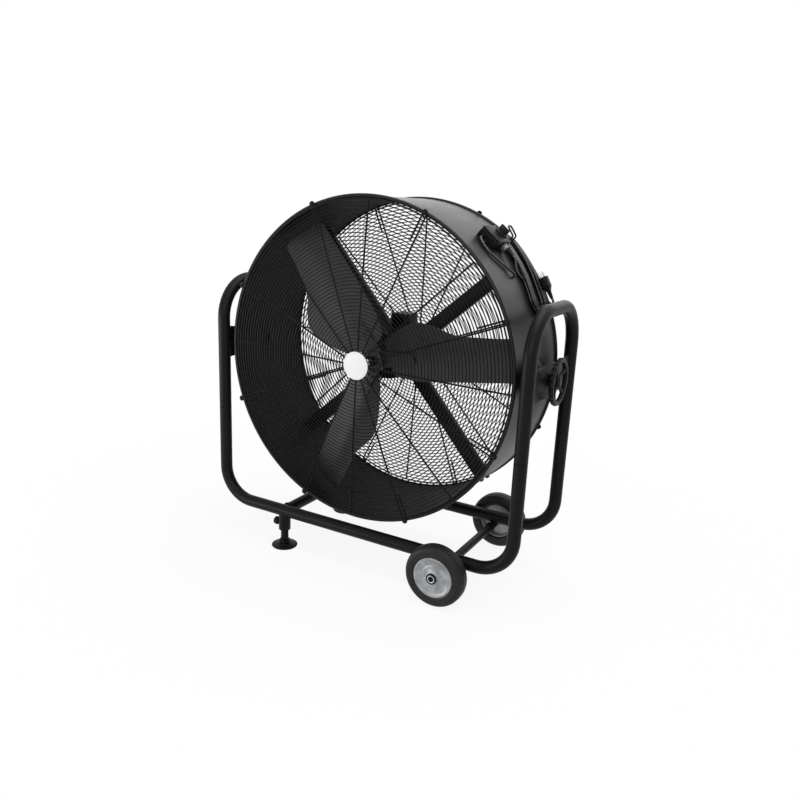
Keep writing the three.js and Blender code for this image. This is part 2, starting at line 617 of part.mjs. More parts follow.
// A domed web of rings and radial wires, with a wire eyelet at the end of every second radial.
// It is built for the front, where the dome bulges towards -Y.
function grille() {
  const edge = SHELL_RADIUS - BEAD_RADIUS - GAP - GRILLE_WIRE / 2;
  const plane = -DRUM_DEPTH / 2 - GAP - GRILLE_WIRE / 2;
  const arcSteps = 2;               // on the outermost ring; the others run straight between radials
  const stationCount = GRILLE_RADIALS * arcSteps;
  const position = [];
  const index = [];
  const depthAt = radius => plane - GRILLE_DOME * (1 - (radius / edge) ** 2);
  const ringRadius = k => GRILLE_HUB_RADIUS + (edge - GRILLE_HUB_RADIUS) * k / (GRILLE_RINGS - 1);
  const corners = new Map();
  // One corner of the web: ring k, its inner or outer edge, and a place round the ring.
  const corner = (k, outer, station, shift, top) => {
    const place = (station + stationCount) % stationCount;
    const key = [k, outer, place, shift, top].join();
    if (!corners.has(key)) {
      const radius = ringRadius(k) + (outer ? 0.5 : -0.5) * GRILLE_WIRE;
      const angle = 2 * Math.PI * place / stationCount + shift * Math.asin(GRILLE_WIRE / 2 / radius);
      corners.set(key, position.length / 3);
      const depth = depthAt(radius) + (top ? -0.5 : 0.5) * GRILLE_WIRE;
      position.push(radius * Math.cos(angle), depth, radius * Math.sin(angle));
    }
    return corners.get(key);
  };
  const quad = (a, b, c, d) => index.push(a, b, c, a, c, d);
  // A flat cell of the web, given round its edge, with a wall where an edge is open.
  const cell = (outline, openEdges) => {
    const upper = outline.map(spot => corner(...spot, true));
    const lower = outline.map(spot => corner(...spot, false));
    quad(upper[0], upper[1], upper[2], upper[3]);
    quad(lower[3], lower[2], lower[1], lower[0]);
    for (const edgeIndex of openEdges) {
      const next = (edgeIndex + 1) % 4;
      quad(upper[next], upper[edgeIndex], lower[edgeIndex], lower[next]);
    }
  };
  // The part of ring k between two stations.
  const ringPart = (k, first, second, from, to, openEdges) => {
    const inner = [[k, false, first, from], [k, false, second, to]];
    const outer = [[k, true, second, to], [k, true, first, from]];
    cell([...inner, ...outer], openEdges);
  };
  for (let k = 0; k < GRILLE_RINGS; k += 1) {
    const stride = k < GRILLE_RINGS - 1 ? arcSteps : 1;
    for (let station = 0; station < stationCount; station += stride) {
      const atRadial = station % arcSteps === 0;
      const nextAtRadial = (station + stride) % arcSteps === 0;
      if (atRadial) {
        const open = [];
        if (k === 0) open.push(0);
        if (k === GRILLE_RINGS - 1) open.push(2);
        ringPart(k, station, station, -1, 1, open);
        if (k < GRILLE_RINGS - 1) {
          const inner = [[k, true, station, -1], [k, true, station, 1]];
          const outer = [[k + 1, false, station, 1], [k + 1, false, station, -1]];
          cell([...inner, ...outer], [1, 3]);
        }
      }
      ringPart(k, station, station + stride, atRadial ? 1 : 0, nextAtRadial ? -1 : 0, [0, 2]);
    }
  }
  const web = new THREE.BufferGeometry();
  web.setAttribute('position', new THREE.Float32BufferAttribute(position, 3));
  web.setIndex(index);
  const pieces = [web];
  const eyeletRadius = SHELL_RADIUS + BEAD_RADIUS / 2;
  const eyelet = join(
    rodY(EYELET_RADIUS, -GRILLE_WIRE / 2, GRILLE_WIRE / 2, 8).translate(eyeletRadius, 0, 0),
    block(eyeletRadius - edge, GRILLE_WIRE, GRILLE_WIRE, (eyeletRadius + edge) / 2, 0, 0),
  );
  for (let k = 1; k < GRILLE_RADIALS; k += 2) {
    pieces.push(eyelet.clone().rotateY(-2 * Math.PI * k / GRILLE_RADIALS).translate(0, plane, 0));
  }
  return join(...pieces);
}

function badgeDisc() {
  const seat = -DRUM_DEPTH / 2 - GRILLE_DOME - GRILLE_WIRE - 3 * GAP;
  const face = seat - BADGE_THICKNESS;
  return turned([
    [0, seat], [BADGE_RADIUS, seat], [BADGE_RADIUS, face + 1], [BADGE_RADIUS - 2, face], [0, face],
  ]);
}

// ---------- motor and its mounting ----------

function motorHousing() {
  const inner = MOTOR_RADIUS - MOTOR_WALL;
  const boss = BEARING_RADIUS + MOTOR_WALL;
  const seat = MOTOR_FRONT + MOTOR_WALL;
  const bearingEnd = seat + GAP + BEARING_WIDTH;
  return turned([
    [SHAFT_RADIUS + 1, MOTOR_FRONT], [MOTOR_RADIUS - 16, MOTOR_FRONT], [MOTOR_RADIUS, MOTOR_FRONT + 14],
    [MOTOR_RADIUS, MOTOR_REAR], [inner, MOTOR_REAR], [inner, MOTOR_FRONT + 16], [inner - 12, seat],
    [boss, seat], [boss, bearingEnd], [BEARING_RADIUS + GAP, bearingEnd], [BEARING_RADIUS + GAP, seat],
    [SHAFT_RADIUS + 1, seat], [SHAFT_RADIUS + 1, MOTOR_FRONT],
  ], 24);
}

function motorEndCap() {
  const front = MOTOR_REAR + GAP;
  const rear = front + MOTOR_CAP_LENGTH;
  const seat = rear - MOTOR_WALL;
  const boss = BEARING_RADIUS + MOTOR_WALL;
  const bearingEnd = seat - GAP - BEARING_WIDTH;
  return turned([
    [0, rear], [MOTOR_RADIUS - 18, rear], [MOTOR_RADIUS, front + 4], [MOTOR_RADIUS, front],
    [MOTOR_RADIUS - MOTOR_WALL, front], [MOTOR_RADIUS - 20, seat], [boss, seat], [boss, bearingEnd],
    [BEARING_RADIUS + GAP, bearingEnd], [BEARING_RADIUS + GAP, seat], [0, seat],
  ], 24);
}

const motorStator = () => ring(STATOR_BORE, MOTOR_RADIUS - MOTOR_WALL - GAP, STATOR_FRONT, STATOR_REAR, 24);

const bearing = middle =>
  ring(SHAFT_RADIUS + GAP, BEARING_RADIUS, middle - BEARING_WIDTH / 2, middle + BEARING_WIDTH / 2, 16);

const frontBearingMiddle = MOTOR_FRONT + MOTOR_WALL + GAP + BEARING_WIDTH / 2;
const rearBearingMiddle = MOTOR_REAR + GAP + MOTOR_CAP_LENGTH - MOTOR_WALL - GAP - BEARING_WIDTH / 2;
const bandInner = MOTOR_RADIUS + GAP;
const bandOuter = bandInner + BAND_THICKNESS;

// A channel, open to the rear, from the motor's band to the drum.
function motorArm() {
  const start = bandOuter + GAP;
  const wallFlat = (SHELL_RADIUS - SHELL_WALL) * Math.cos(Math.PI / DRUM_SIDES);
  const end = Math.sqrt((wallFlat - GAP) ** 2 - (ARM_WIDTH / 2) ** 2);
  const half = ARM_WIDTH / 2;
  const front = MOUNT_Y - ARM_DEPTH / 2;
  const rear = MOUNT_Y + ARM_DEPTH / 2;
  const section = new THREE.Shape([
    new THREE.Vector2(-half, rear), new THREE.Vector2(-half, front), new THREE.Vector2(half, front),
    new THREE.Vector2(half, rear), new THREE.Vector2(half - ARM_WALL, rear),
    new THREE.Vector2(half - ARM_WALL, front + ARM_WALL),
    new THREE.Vector2(ARM_WALL - half, front + ARM_WALL), new THREE.Vector2(ARM_WALL - half, rear),
  ]);
  return new THREE.ExtrudeGeometry(section, { depth: end - start, bevelEnabled: false })
    .translate(0, 0, start)
    .rotateY(Math.PI / 2);
}

function capacitorBox() {
  const { width, middle, front, rear, top } = CAPACITOR_BOX;
  const bottom = MOTOR_RADIUS / 2;
  const body = block(
    width, rear - front, top - bottom, middle, (front + rear) / 2, (top + bottom) / 2,
  );
  return cut(body, rodY(bandOuter + 2 * GAP, front - 1, rear + 1, 24));
}

function buildMotor(drum) {
  addPiece(drum, 'motor_housing', motorHousing(), blackPaint);
  addPiece(drum, 'motor_end_cap', motorEndCap(), blackPaint);
  addPiece(drum, 'motor_stator', motorStator(), copperWinding);
  addPiece(drum, 'front_bearing', bearing(frontBearingMiddle), brightZinc);
  addPiece(drum, 'rear_bearing', bearing(rearBearingMiddle), brightZinc);
  const band = ring(bandInner, bandOuter, MOUNT_Y - BAND_WIDTH / 2, MOUNT_Y + BAND_WIDTH / 2, 24);
  addPiece(drum, 'motor_band', band, blackPaint);
  for (let k = 0; k < 4; k += 1) {
    addPiece(drum, `motor_arm_${k + 1}`, motorArm(), blackPaint).rotation.y = -rad(ARM_ANGLE + 90 * k);
  }
  addPiece(drum, 'capacitor_box', capacitorBox(), blackPaint);
}

// ---------- rotor ----------

// A point of a blade before it is turned to its own angle: distance out from the axis, offset to
// the side, and depth behind the blade's front face. The blade is pitched and folded along its middle.
function bladePoint(distance, offset, depth) {
  const fold = BLADE_FOLD * (1 - Math.sqrt((offset / BLADE_FOLD_WIDTH) ** 2 + 0.06));
  return new THREE.Vector3(distance, BLADE_Y - offset * Math.tan(rad(BLADE_PITCH)) + fold + depth, offset);
}

const ease = t => THREE.MathUtils.smoothstep(t, 0, 1);

// Bends a unit box into a sheet: x runs along the blade, z across it and y through its thickness.
function bentSheet(lengthSteps, widthSteps, place) {
  const box = new THREE.BoxGeometry(1, 1, 1, lengthSteps, 1, widthSteps);
  const position = box.getAttribute('position');
  for (let i = 0; i < position.count; i += 1) {
    const spot = place(position.getX(i) + 0.5, position.getZ(i) * 2, position.getY(i) + 0.5);
    position.setXYZ(i, spot.x, spot.y, spot.z);
  }
  return box;
}

// How wide the blade is ahead of its middle: it swells fast to a bulge and narrows towards the tip.
function bladeHigh(along) {
  if (along < BLADE_BULGE_PLACE) {
    const rise = Math.sin(Math.PI / 2 * along / BLADE_BULGE_PLACE);
    return THREE.MathUtils.lerp(BLADE_HIGH_ROOT, BLADE_HIGH_BULGE, rise);
  }
  const shoulder = 0.85 * ease((along - BLADE_BULGE_PLACE) / 0.33);
  const rest = 0.15 * ease((along - 0.6) / 0.4);
  return THREE.MathUtils.lerp(BLADE_HIGH_BULGE, BLADE_HIGH_TIP, shoulder + rest);
}

function bladeLow(along) {
  const rise = Math.sin(Math.PI / 2 * Math.min(1, along / 0.25));
  return THREE.MathUtils.lerp(BLADE_LOW_ROOT, BLADE_LOW_FULL, rise);
}

function blade() {
  return bentSheet(6, 6, (along, across, through) => {
    const offset = across * (across < 0 ? bladeLow(along) : bladeHigh(along));
    const reach = Math.sqrt(BLADE_TIP ** 2 - offset ** 2) - BLADE_CORNER * Math.abs(across) ** 8;
    const root = BLADE_ROOT + BLADE_CORNER * Math.abs(across) ** 4;
    return bladePoint(THREE.MathUtils.lerp(root, reach, along), offset, through * BLADE_SHEET);
  });
}

function spider() {
  const hub = rodY(SPIDER_HUB_RADIUS, SPIDER_FRONT, SPIDER_REAR, 24);
  const ahead = -SPIDER_SEAT - SPIDER_SHEET;
  const arm = bentSheet(2, 4, (along, across, through) => bladePoint(
    THREE.MathUtils.lerp(SPIDER_HUB_RADIUS / 2, SPIDER_ARM_LENGTH, along),
    across * SPIDER_ARM_WIDTH / 2 * (1 - 0.3 * along),
    ahead + through * SPIDER_SHEET,
  ));
  const arms = bladeAngles.map(angle => arm.clone().rotateY(-angle));
  return cut(join(hub, ...arms), rodY(SHAFT_RADIUS + GAP, SPIDER_FRONT - 1, SPIDER_REAR + 1));
}

const bladeAngles = Array.from({ length: BLADE_COUNT }, (_, k) => rad(BLADE_ANGLE + 360 * k / BLADE_COUNT));

// The shaft with the motor's rotor on it, which runs in the two bearings.
function fanShaft() {
  const rotorRadius = STATOR_BORE - 1;
  const end = rearBearingMiddle + BEARING_WIDTH / 2;
  return turned([
    [0, SHAFT_FRONT], [SHAFT_RADIUS, SHAFT_FRONT + 1], [SHAFT_RADIUS, STATOR_FRONT],
    [rotorRadius, STATOR_FRONT], [rotorRadius, STATOR_REAR], [SHAFT_RADIUS, STATOR_REAR],
    [SHAFT_RADIUS, end], [0, end],
  ], 16);
}

function buildRotor(drum) {
  const rotor = new THREE.Group();
  drum.add(rotor);
  addPiece(rotor, 'fan_shaft', fanShaft(), brightZinc);
  addPiece(rotor, 'fan_spider', spider(), blackPaint);
  bladeAngles.forEach((angle, k) => {
    addPiece(rotor, `fan_blade_${k + 1}`, blade(), bladePaint).rotation.y = -angle;
  });
}

// ---------- tilt pivots ----------

const plateInner = LEG_X - PIVOT_PLATE_THICKNESS / 2;
const pivotSeat = LEG_X + PIVOT_PLATE_THICKNESS / 2 + GAP;

const frictionDisc = () =>
  aboutX(ring(PIVOT_BOLT_RADIUS + GAP, FRICTION_DISC_RADIUS, PIVOT_BOSS_X + GAP, plateInner - GAP, 20));

// The drum carries a bolt on each side. Its head is inside the drum, and its end stands out through
// the plate.
function pivotBolt() {
  const seat = SHELL_RADIUS - SHELL_WALL - PIVOT_BOSS_INSIDE - GAP;
  const head = rodX(2 * PIVOT_BOLT_RADIUS, seat - PIVOT_BOLT_RADIUS, seat, 6);
  return join(rodX(PIVOT_BOLT_RADIUS, seat - 1, pivotSeat + HANDWHEEL_HUB_LENGTH), head);
}

function leftPivotBolt() {
  return join(pivotBolt(), rodX(2 * PIVOT_BOLT_RADIUS, pivotSeat, pivotSeat + PIVOT_NUT_LENGTH, 6));
}

function handwheel() {
  const rimInner = HANDWHEEL_RADIUS - HANDWHEEL_RIM;
  const points = [];
  const perLobe = 2;
  for (let k = 0; k < HANDWHEEL_LOBES * perLobe; k += 1) {
    const angle = 2 * Math.PI * k / (HANDWHEEL_LOBES * perLobe);
    const radius = HANDWHEEL_RADIUS - HANDWHEEL_LOBE_DEPTH * (1 - Math.cos(HANDWHEEL_LOBES * angle)) / 2;
    points.push(new THREE.Vector2(radius * Math.cos(angle), radius * Math.sin(angle)));
  }
  const outline = new THREE.Shape(points);
  const opening = new THREE.Path();
  opening.absarc(0, 0, rimInner, 0, 2 * Math.PI, true);
  outline.holes.push(opening);
  const settings = { depth: HANDWHEEL_RIM, bevelEnabled: false, curveSegments: 12 };
  const grip = new THREE.ExtrudeGeometry(outline, settings)
    .rotateY(Math.PI / 2)
    .translate(HANDWHEEL_HUB_LENGTH - HANDWHEEL_RIM, 0, 0);
  const hub = rodX(HANDWHEEL_HUB_RADIUS, 0, HANDWHEEL_HUB_LENGTH);
  const pieces = [grip, hub];
  const spokeLength = rimInner + 2 - HANDWHEEL_HUB_RADIUS / 2;
  for (let k = 0; k < HANDWHEEL_SPOKES; k += 1) {
    pieces.push(block(
      HANDWHEEL_RIM / 2, HANDWHEEL_SPOKE_WIDTH, spokeLength,
      HANDWHEEL_HUB_LENGTH - HANDWHEEL_RIM / 2, 0, (rimInner + 2 + HANDWHEEL_HUB_RADIUS / 2) / 2,
    ).rotateX(2 * Math.PI * k / HANDWHEEL_SPOKES));
  }
  return cut(join(...pieces), rodX(PIVOT_BOLT_RADIUS + GAP, -1, HANDWHEEL_HUB_LENGTH + 1));
}

function buildPivots(drum) {
  addPiece(drum, 'right_pivot_bolt', pivotBolt(), brightZinc);
  addPiece(drum, 'left_pivot_bolt', leftPivotBolt(), brightZinc).rotation.z = Math.PI;
  addPiece(drum, 'right_friction_disc', frictionDisc(), blackPlastic);
  addPiece(drum, 'left_friction_disc', frictionDisc(), blackPlastic).rotation.z = Math.PI;
  addPiece(drum, 'tilt_handwheel', handwheel(), blackPlastic).position.x = pivotSeat;
}

// ---------- control box, mains lead and hooks ----------

// A group on the drum: its Z points out of the drum at an angle, and its X runs down the curve.
function seatOnDrum(drum, angle) {
  const seat = new THREE.Group();
  seat.rotation.y = Math.PI / 2 - rad(angle);
  drum.add(seat);
  return seat;
}

// A point on the drum: distance down the curve from the middle of the hank, place along the axis
// and height above the sheet.
function onDrum(run, y, height) {
  const angle = rad(HANK_ANGLE) - run / SHELL_RADIUS;
  const radius = SHELL_RADIUS + height;
  return new THREE.Vector3(radius * Math.cos(angle), y, radius * Math.sin(angle));
}

const outOfDrum = point => new THREE.Vector3(point.x, 0, point.z).normalize();

// A plate or box with rounded upright edges, its bottom at z = 0.
function roundedBlock(width, depth, height, corner) {
  const x = width / 2 - corner;
  const y = depth / 2 - corner;
  const outline = new THREE.Shape();
  outline.absarc(x, y, corner, 0, Math.PI / 2);
  outline.absarc(-x, y, corner, Math.PI / 2, Math.PI);
  outline.absarc(-x, -y, corner, Math.PI, 1.5 * Math.PI);
  outline.absarc(x, -y, corner, 1.5 * Math.PI, 2 * Math.PI);
  return new THREE.ExtrudeGeometry(outline, { depth: height, bevelEnabled: false, curveSegments: 3 });
}

function speedKnob() {
  const grip = aboutZ(turned([
    [0, 0], [SPEED_KNOB_RADIUS, 0], [SPEED_KNOB_RADIUS - 1, 4], [SPEED_KNOB_RADIUS - 5, 5],
    [SPEED_KNOB_RADIUS - 6, SPEED_KNOB_HEIGHT - 4], [0, SPEED_KNOB_HEIGHT - 4],
  ], 24));
  const bar = block(2 * SPEED_KNOB_RADIUS - 8, 8, SPEED_KNOB_HEIGHT - 4, 0, 0, SPEED_KNOB_HEIGHT / 2 + 2);
  return join(grip, bar);
}

function cordGland() {
  const nutEnd = GLAND_NUT_LENGTH;
  return aboutX(turned([
    [0, 0], [GLAND_NUT_RADIUS, 0], [GLAND_NUT_RADIUS, nutEnd - 3], [GLAND_NUT_RADIUS - 3, nutEnd],
    [CORD_RADIUS + 3, nutEnd], [CORD_RADIUS + 1, nutEnd + GLAND_TAPER], [0, nutEnd + GLAND_TAPER],
  ], 16));
}

// One loop of the hank, from 0 to 1: down the front run, round the lower end, up the rear run and
// round the upper end. The runs lean, because the two ends lie at different places along the axis.
function hankLoop(turn, growth) {
  const run = RUN_SHARE;
  const end = 0.5 - RUN_SHARE;
  const top = HANK_TOP.radius + growth;
  const bottom = HANK_BOTTOM.radius + growth;
  if (turn < run) {
    const t = turn / run;
    return [
      THREE.MathUtils.lerp(-HANK_HALF_RUN, HANK_HALF_RUN, t),
      THREE.MathUtils.lerp(HANK_TOP.y - top, HANK_BOTTOM.y - bottom, t),
    ];
  }
  if (turn < run + end) {
    const angle = Math.PI * (turn - run) / end;
    return [HANK_HALF_RUN + bottom * Math.sin(angle), HANK_BOTTOM.y - bottom * Math.cos(angle)];
  }
  if (turn < 2 * run + end) {
    const t = (turn - run - end) / run;
    return [
      THREE.MathUtils.lerp(HANK_HALF_RUN, -HANK_HALF_RUN, t),
      THREE.MathUtils.lerp(HANK_BOTTOM.y + bottom, HANK_TOP.y + top, t),
    ];
  }
  const angle = Math.PI * (turn - 2 * run - end) / end;
  return [-HANK_HALF_RUN - top * Math.sin(angle), HANK_TOP.y + top * Math.cos(angle)];
}

const lowLayer = CORD_RADIUS + HANK_CLEARANCE;
const turnBack = HANK_LOOPS_IN + 0.5 + RUN_SHARE * (0.5 - HANK_START);

// The hank spirals in on the sheet, climbs a layer along the rear run where the spiral turns back,
// and spirals out again.
function hankPoint(loops) {
  const growth = HANK_PITCH * Math.abs(loops - turnBack);
  const climb = ease((loops - turnBack) / RUN_SHARE + 0.5);
  const turn = (loops + HANK_START * RUN_SHARE) % 1;
  const [run, y] = hankLoop(turn, growth);
  return onDrum(run, y, lowLayer + HANK_LAYER * climb);
}

function hankRoute() {
  const points = [];
  const steps = Math.round(HANK_LOOPS * LOOP_STEPS);
  for (let i = 0; i <= steps; i += 1) points.push(hankPoint(HANK_LOOPS * i / steps));
  const first = points[0].clone().sub(points[1]).setLength(2 * CORD_RADIUS).add(points[0]);
  const last = points[steps].clone().sub(points[steps - 1]).setLength(2 * CORD_RADIUS).add(points[steps]);
  return [first, ...points, last];
}

// The least clear distance between stretches of the hank that aren't next to each other.
function leastGap(points, diameter) {
  const fine = [];
  points.slice(1).forEach((point, i) => {
    for (let k = 0; k < 4; k += 1) fine.push(points[i].clone().lerp(point, k / 4));
  });
  let least = Infinity;
  fine.forEach((point, i) => {
    for (const other of fine.slice(i + 2 * LOOP_STEPS)) least = Math.min(least, point.distanceTo(other));
  });
  return least - diameter;
}

function routeLength(points) {
  return points.slice(1).reduce((sum, point, i) => sum + point.distanceTo(points[i]), 0);
}

// A free stretch of cable through points chosen by hand.
function cable(points, radius) {
  const curve = new THREE.CatmullRomCurve3(points, false, 'centripetal');
  const steps = Math.ceil(curve.getLength() / (5 * radius));
  return new THREE.ExtrudeGeometry(polygon(radius, CORD_SIDES), { steps, extrudePath: curve });
}

const glandEnd = new THREE.Vector3(
  BOX_LENGTH / 2 + GAP + GLAND_NUT_LENGTH + GLAND_TAPER + GAP, GLAND_Y, SHELL_RADIUS + GLAND_RISE,
).applyAxisAngle(new THREE.Vector3(0, 1, 0), Math.PI / 2 - rad(BOX_ANGLE));
const glandDirection = new THREE.Vector3(Math.sin(rad(BOX_ANGLE)), 0, -Math.cos(rad(BOX_ANGLE)));

const plugRise = lowLayer + HANK_LAYER + CORD_RADIUS + GAP + PLUG_BODY.height / 2;
const plugEnd = new THREE.Vector3(PLUG_BODY.length / 2 + PLUG_RELIEF + GAP, PLUG_Y, SHELL_RADIUS + plugRise)
  .applyAxisAngle(new THREE.Vector3(0, 1, 0), Math.PI / 2 - rad(PLUG_ANGLE));
const plugDirection = new THREE.Vector3(Math.sin(rad(PLUG_ANGLE)), 0, -Math.cos(rad(PLUG_ANGLE)));

// From the gland down to the start of the hank.
function leadRoute(hank) {
  const arrival = hank[1].clone().sub(hank[0]).normalize();
  const end = hank[0].clone().addScaledVector(arrival, -GAP);
  return [
    glandEnd,
    glandEnd.clone().addScaledVector(glandDirection, 8),
    ...LEAD_POINTS.map(({ run, y, height }) => onDrum(run, GLAND_Y + y, height)),
    end.clone().addScaledVector(arrival, -7),
    end,
  ];
}

// From the end of the hank round to the plug, which lies on it.
function tailRoute(hank) {
  const departure = hank[hank.length - 1].clone().sub(hank[hank.length - 2]).normalize();
  const start = hank[hank.length - 1].clone().addScaledVector(departure, GAP);
  return [
    start,
    start.clone().addScaledVector(departure, 7),
    onDrum(HANK_HALF_RUN + TAIL_POINT.run, PLUG_Y + TAIL_POINT.y, TAIL_POINT.height),
    plugEnd.clone().addScaledVector(plugDirection, 8),
    plugEnd,
  ];
}

function motorLeadRoute() {
  const { run: down, height: rise, straight } = LEAD_START;
  const boxSide = new THREE.Vector3(-down, BOX_FRONT - GAP, SHELL_RADIUS + rise)
    .applyAxisAngle(new THREE.Vector3(0, 1, 0), Math.PI / 2 - rad(BOX_ANGLE));
  const boxRun = (rad(HANK_ANGLE) - rad(BOX_ANGLE)) * SHELL_RADIUS;
  return [
    boxSide,
    boxSide.clone().add(new THREE.Vector3(0, -straight, 0)),
    ...MOTOR_LEAD_POINTS.map(({ run, y, height }) => onDrum(boxRun + run, BOX_FRONT + y, height)),
  ];
}

// A bent wire loop whose two legs stand on the drum, inside the innermost loop at one end of the hank.
function cordHook(sign, end) {
  const reach = end.radius - CORD_RADIUS - HOOK_WIRE - 1;
  const run = sign * (HANK_HALF_RUN + Math.sqrt(reach ** 2 - (HOOK_WIDTH / 2) ** 2));
  const low = end.y - HOOK_WIDTH / 2;
  const high = end.y + HOOK_WIDTH / 2;
  const rise = HOOK_STAND + 10;
  return bentTube([
    onDrum(run, low, GAP / 3),
    onDrum(run, low, HOOK_STAND),
    onDrum(run + sign * HOOK_REACH, low, rise),
    onDrum(run + sign * HOOK_REACH, high, rise),
    onDrum(run, high, HOOK_STAND),
    onDrum(run, high, GAP / 3),
  ], HOOK_WIRE, 3 * HOOK_WIRE, 6, 2);
}

function powerPlug() {
  const { length, width, height } = PLUG_BODY;
  const body = roundedBlock(length, width, height, 6).translate(0, 0, -height / 2);
  const relief = aboutX(turned([
    [0, length / 2 - 2], [CORD_RADIUS + 4, length / 2 - 2], [CORD_RADIUS + 1, length / 2 + PLUG_RELIEF],
    [0, length / 2 + PLUG_RELIEF],
  ], 12));
  const pin = (y, z) => block(PLUG_PIN_LENGTH + 2, 6, 2, -length / 2 - PLUG_PIN_LENGTH / 2 + 1, y, z);
  const earth = rodX(2.5, -length / 2 - PLUG_PIN_LENGTH, 2 - length / 2, 10);
  return join(body, relief, pin(-7, -4), pin(7, -4), earth.translate(0, 0, 5));
}

function buildElectrics(drum) {
  const seat = seatOnDrum(drum, BOX_ANGLE);
  const boxMiddle = (BOX_FRONT + BOX_REAR) / 2;
  const base = roundedBlock(BOX_LENGTH, BOX_DEPTH, 2 * BOX_HEIGHT, 5)
    .translate(0, boxMiddle, SHELL_RADIUS - BOX_HEIGHT);
  const sheet = rodY(SHELL_RADIUS + GAP, BOX_FRONT - 1, BOX_REAR + 1, 2 * DRUM_SIDES);
  addPiece(seat, 'control_box', cut(base, sheet), blackPlastic);
  const coverSeat = SHELL_RADIUS + BOX_HEIGHT + GAP;
  addPiece(seat, 'control_box_cover', roundedBlock(BOX_LENGTH, BOX_DEPTH, COVER_THICKNESS, 5), blackPlastic)
    .position.set(0, boxMiddle, coverSeat);
  addPiece(seat, 'speed_knob', speedKnob(), blackPlastic)
    .position.set(0, SPEED_KNOB_Y, coverSeat + COVER_THICKNESS + GAP);
  addPiece(seat, 'cord_gland', cordGland(), greySteel)
    .position.set(BOX_LENGTH / 2 + GAP, GLAND_Y, SHELL_RADIUS + GLAND_RISE);

  const hank = hankRoute();
  const lead = leadRoute(hank);
  const tail = tailRoute(hank);
  addPiece(drum, 'cord_lead', cable(lead, CORD_RADIUS), cordPvc);
  addPiece(drum, 'cord_hank', woundTube(hank, outOfDrum, CORD_RADIUS, LOOP_SIDES), cordPvc);
  addPiece(drum, 'cord_end', cable(tail, CORD_RADIUS), cordPvc);
  const metres = (routeLength(hank) + routeLength(lead) + routeLength(tail)) / 1000;
  const least = leastGap(hank, 2 * CORD_RADIUS);
  console.log(`cord ${metres.toFixed(2)} m, least gap in the hank ${least.toFixed(2)} mm`);
  addPiece(drum, 'motor_lead', cable(motorLeadRoute(), LEAD_RADIUS), cordPvc);

  addPiece(drum, 'upper_cord_hook', cordHook(-1, HANK_TOP), blackWire);
  addPiece(drum, 'lower_cord_hook', cordHook(1, HANK_BOTTOM), blackWire);

  addPiece(seatOnDrum(drum, PLUG_ANGLE), 'power_plug', powerPlug(), blackPlastic)
    .position.set(0, PLUG_Y, SHELL_RADIUS + plugRise);
}

function buildDrum(part) {
  const drum = new THREE.Group();
  drum.position.z = AXIS_HEIGHT;
  part.add(drum);
  addPiece(drum, 'drum_shell', drumShell(), blackSheet);
  addPiece(drum, 'front_grille', grille(), blackWire).rotation.y = -rad(GRILLE_TURN);
  addPiece(drum, 'rear_grille', grille(), blackWire).rotation.set(0, -rad(GRILLE_TURN), Math.PI);
  addPiece(drum, 'badge_disc', badgeDisc(), badgeWhite);
  buildMotor(drum);
  buildRotor(drum);
  buildPivots(drum);
  buildElectrics(drum);
}

const drumFan = new THREE.Group();
buildFrame(drumFan);
buildWheels(drumFan);
buildDrum(drumFan);

export default drumFan;
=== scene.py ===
"""A tilting drum fan, dressed for rendering: smooth surfaces, wire grilles, fasteners and finishes
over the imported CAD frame. Metres, +Z up, the fan blows towards -Y."""

import math

import bmesh
import bpy
import numpy as np
from bpy.props import FloatProperty, FloatVectorProperty, IntProperty, PointerProperty
from mathutils import Matrix


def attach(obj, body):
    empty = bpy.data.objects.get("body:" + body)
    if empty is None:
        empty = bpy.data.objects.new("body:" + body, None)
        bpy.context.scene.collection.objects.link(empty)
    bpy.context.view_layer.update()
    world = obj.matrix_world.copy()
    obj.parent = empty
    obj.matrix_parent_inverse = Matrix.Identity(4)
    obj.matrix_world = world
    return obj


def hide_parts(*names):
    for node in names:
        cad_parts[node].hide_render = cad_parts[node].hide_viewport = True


bl_info = {
    "name": "Drum Fan",
    "version": (1, 0, 0),
    "blender": (4, 5, 0),
    "location": "View3D > Sidebar > Drum Fan",
    "description": "Builds a tilting drum fan on a wheeled tube frame, with its studio stage",
    "category": "Object",
}

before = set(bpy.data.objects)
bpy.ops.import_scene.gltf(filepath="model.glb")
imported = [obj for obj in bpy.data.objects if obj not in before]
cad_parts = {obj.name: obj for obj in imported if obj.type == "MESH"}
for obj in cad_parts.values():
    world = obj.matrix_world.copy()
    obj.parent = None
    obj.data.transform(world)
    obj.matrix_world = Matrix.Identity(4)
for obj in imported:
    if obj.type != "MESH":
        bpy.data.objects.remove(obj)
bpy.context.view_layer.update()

TAU = 2 * math.pi
QUARTER = math.pi / 2
GAP = 0.0003                        # clearance between pieces that touch
SHEET_LIFT = 0.0006                 # clearance between the hank and the drum's sheet
BOSS_INSIDE = 0.004                 # how far a pivot boss reaches into the drum
ARM_FACE = 0.006                    # front of the spider's arms ahead of a blade's face
GRIP_HEIGHT = 0.013                 # half the height of the plug's moulding
RELIEF = (0.014, 0.040)             # the gland's strain relief, from the box's wall
CABLE_LIFT = 0.005                  # middle of the motor's cable above the sheet, at its clips
ENDS = ((-1, "front"), (1, "rear"))
SIDES = ((-1, "left"), (1, "right"))
X_AXIS = np.array([1.0, 0.0, 0.0])
Y_AXIS = np.array([0.0, 1.0, 0.0])
Z_AXIS = np.array([0.0, 0.0, 1.0])


# ---------------------------------------------------------------- sizes and colours

def length(name, description, default):
    return FloatProperty(name=name, description=description, default=default,
                         min=0.0, soft_max=2.0, unit="LENGTH", precision=4)


def place_along(name, description, default):
    return FloatProperty(name=name, description=description, default=default, unit="LENGTH")


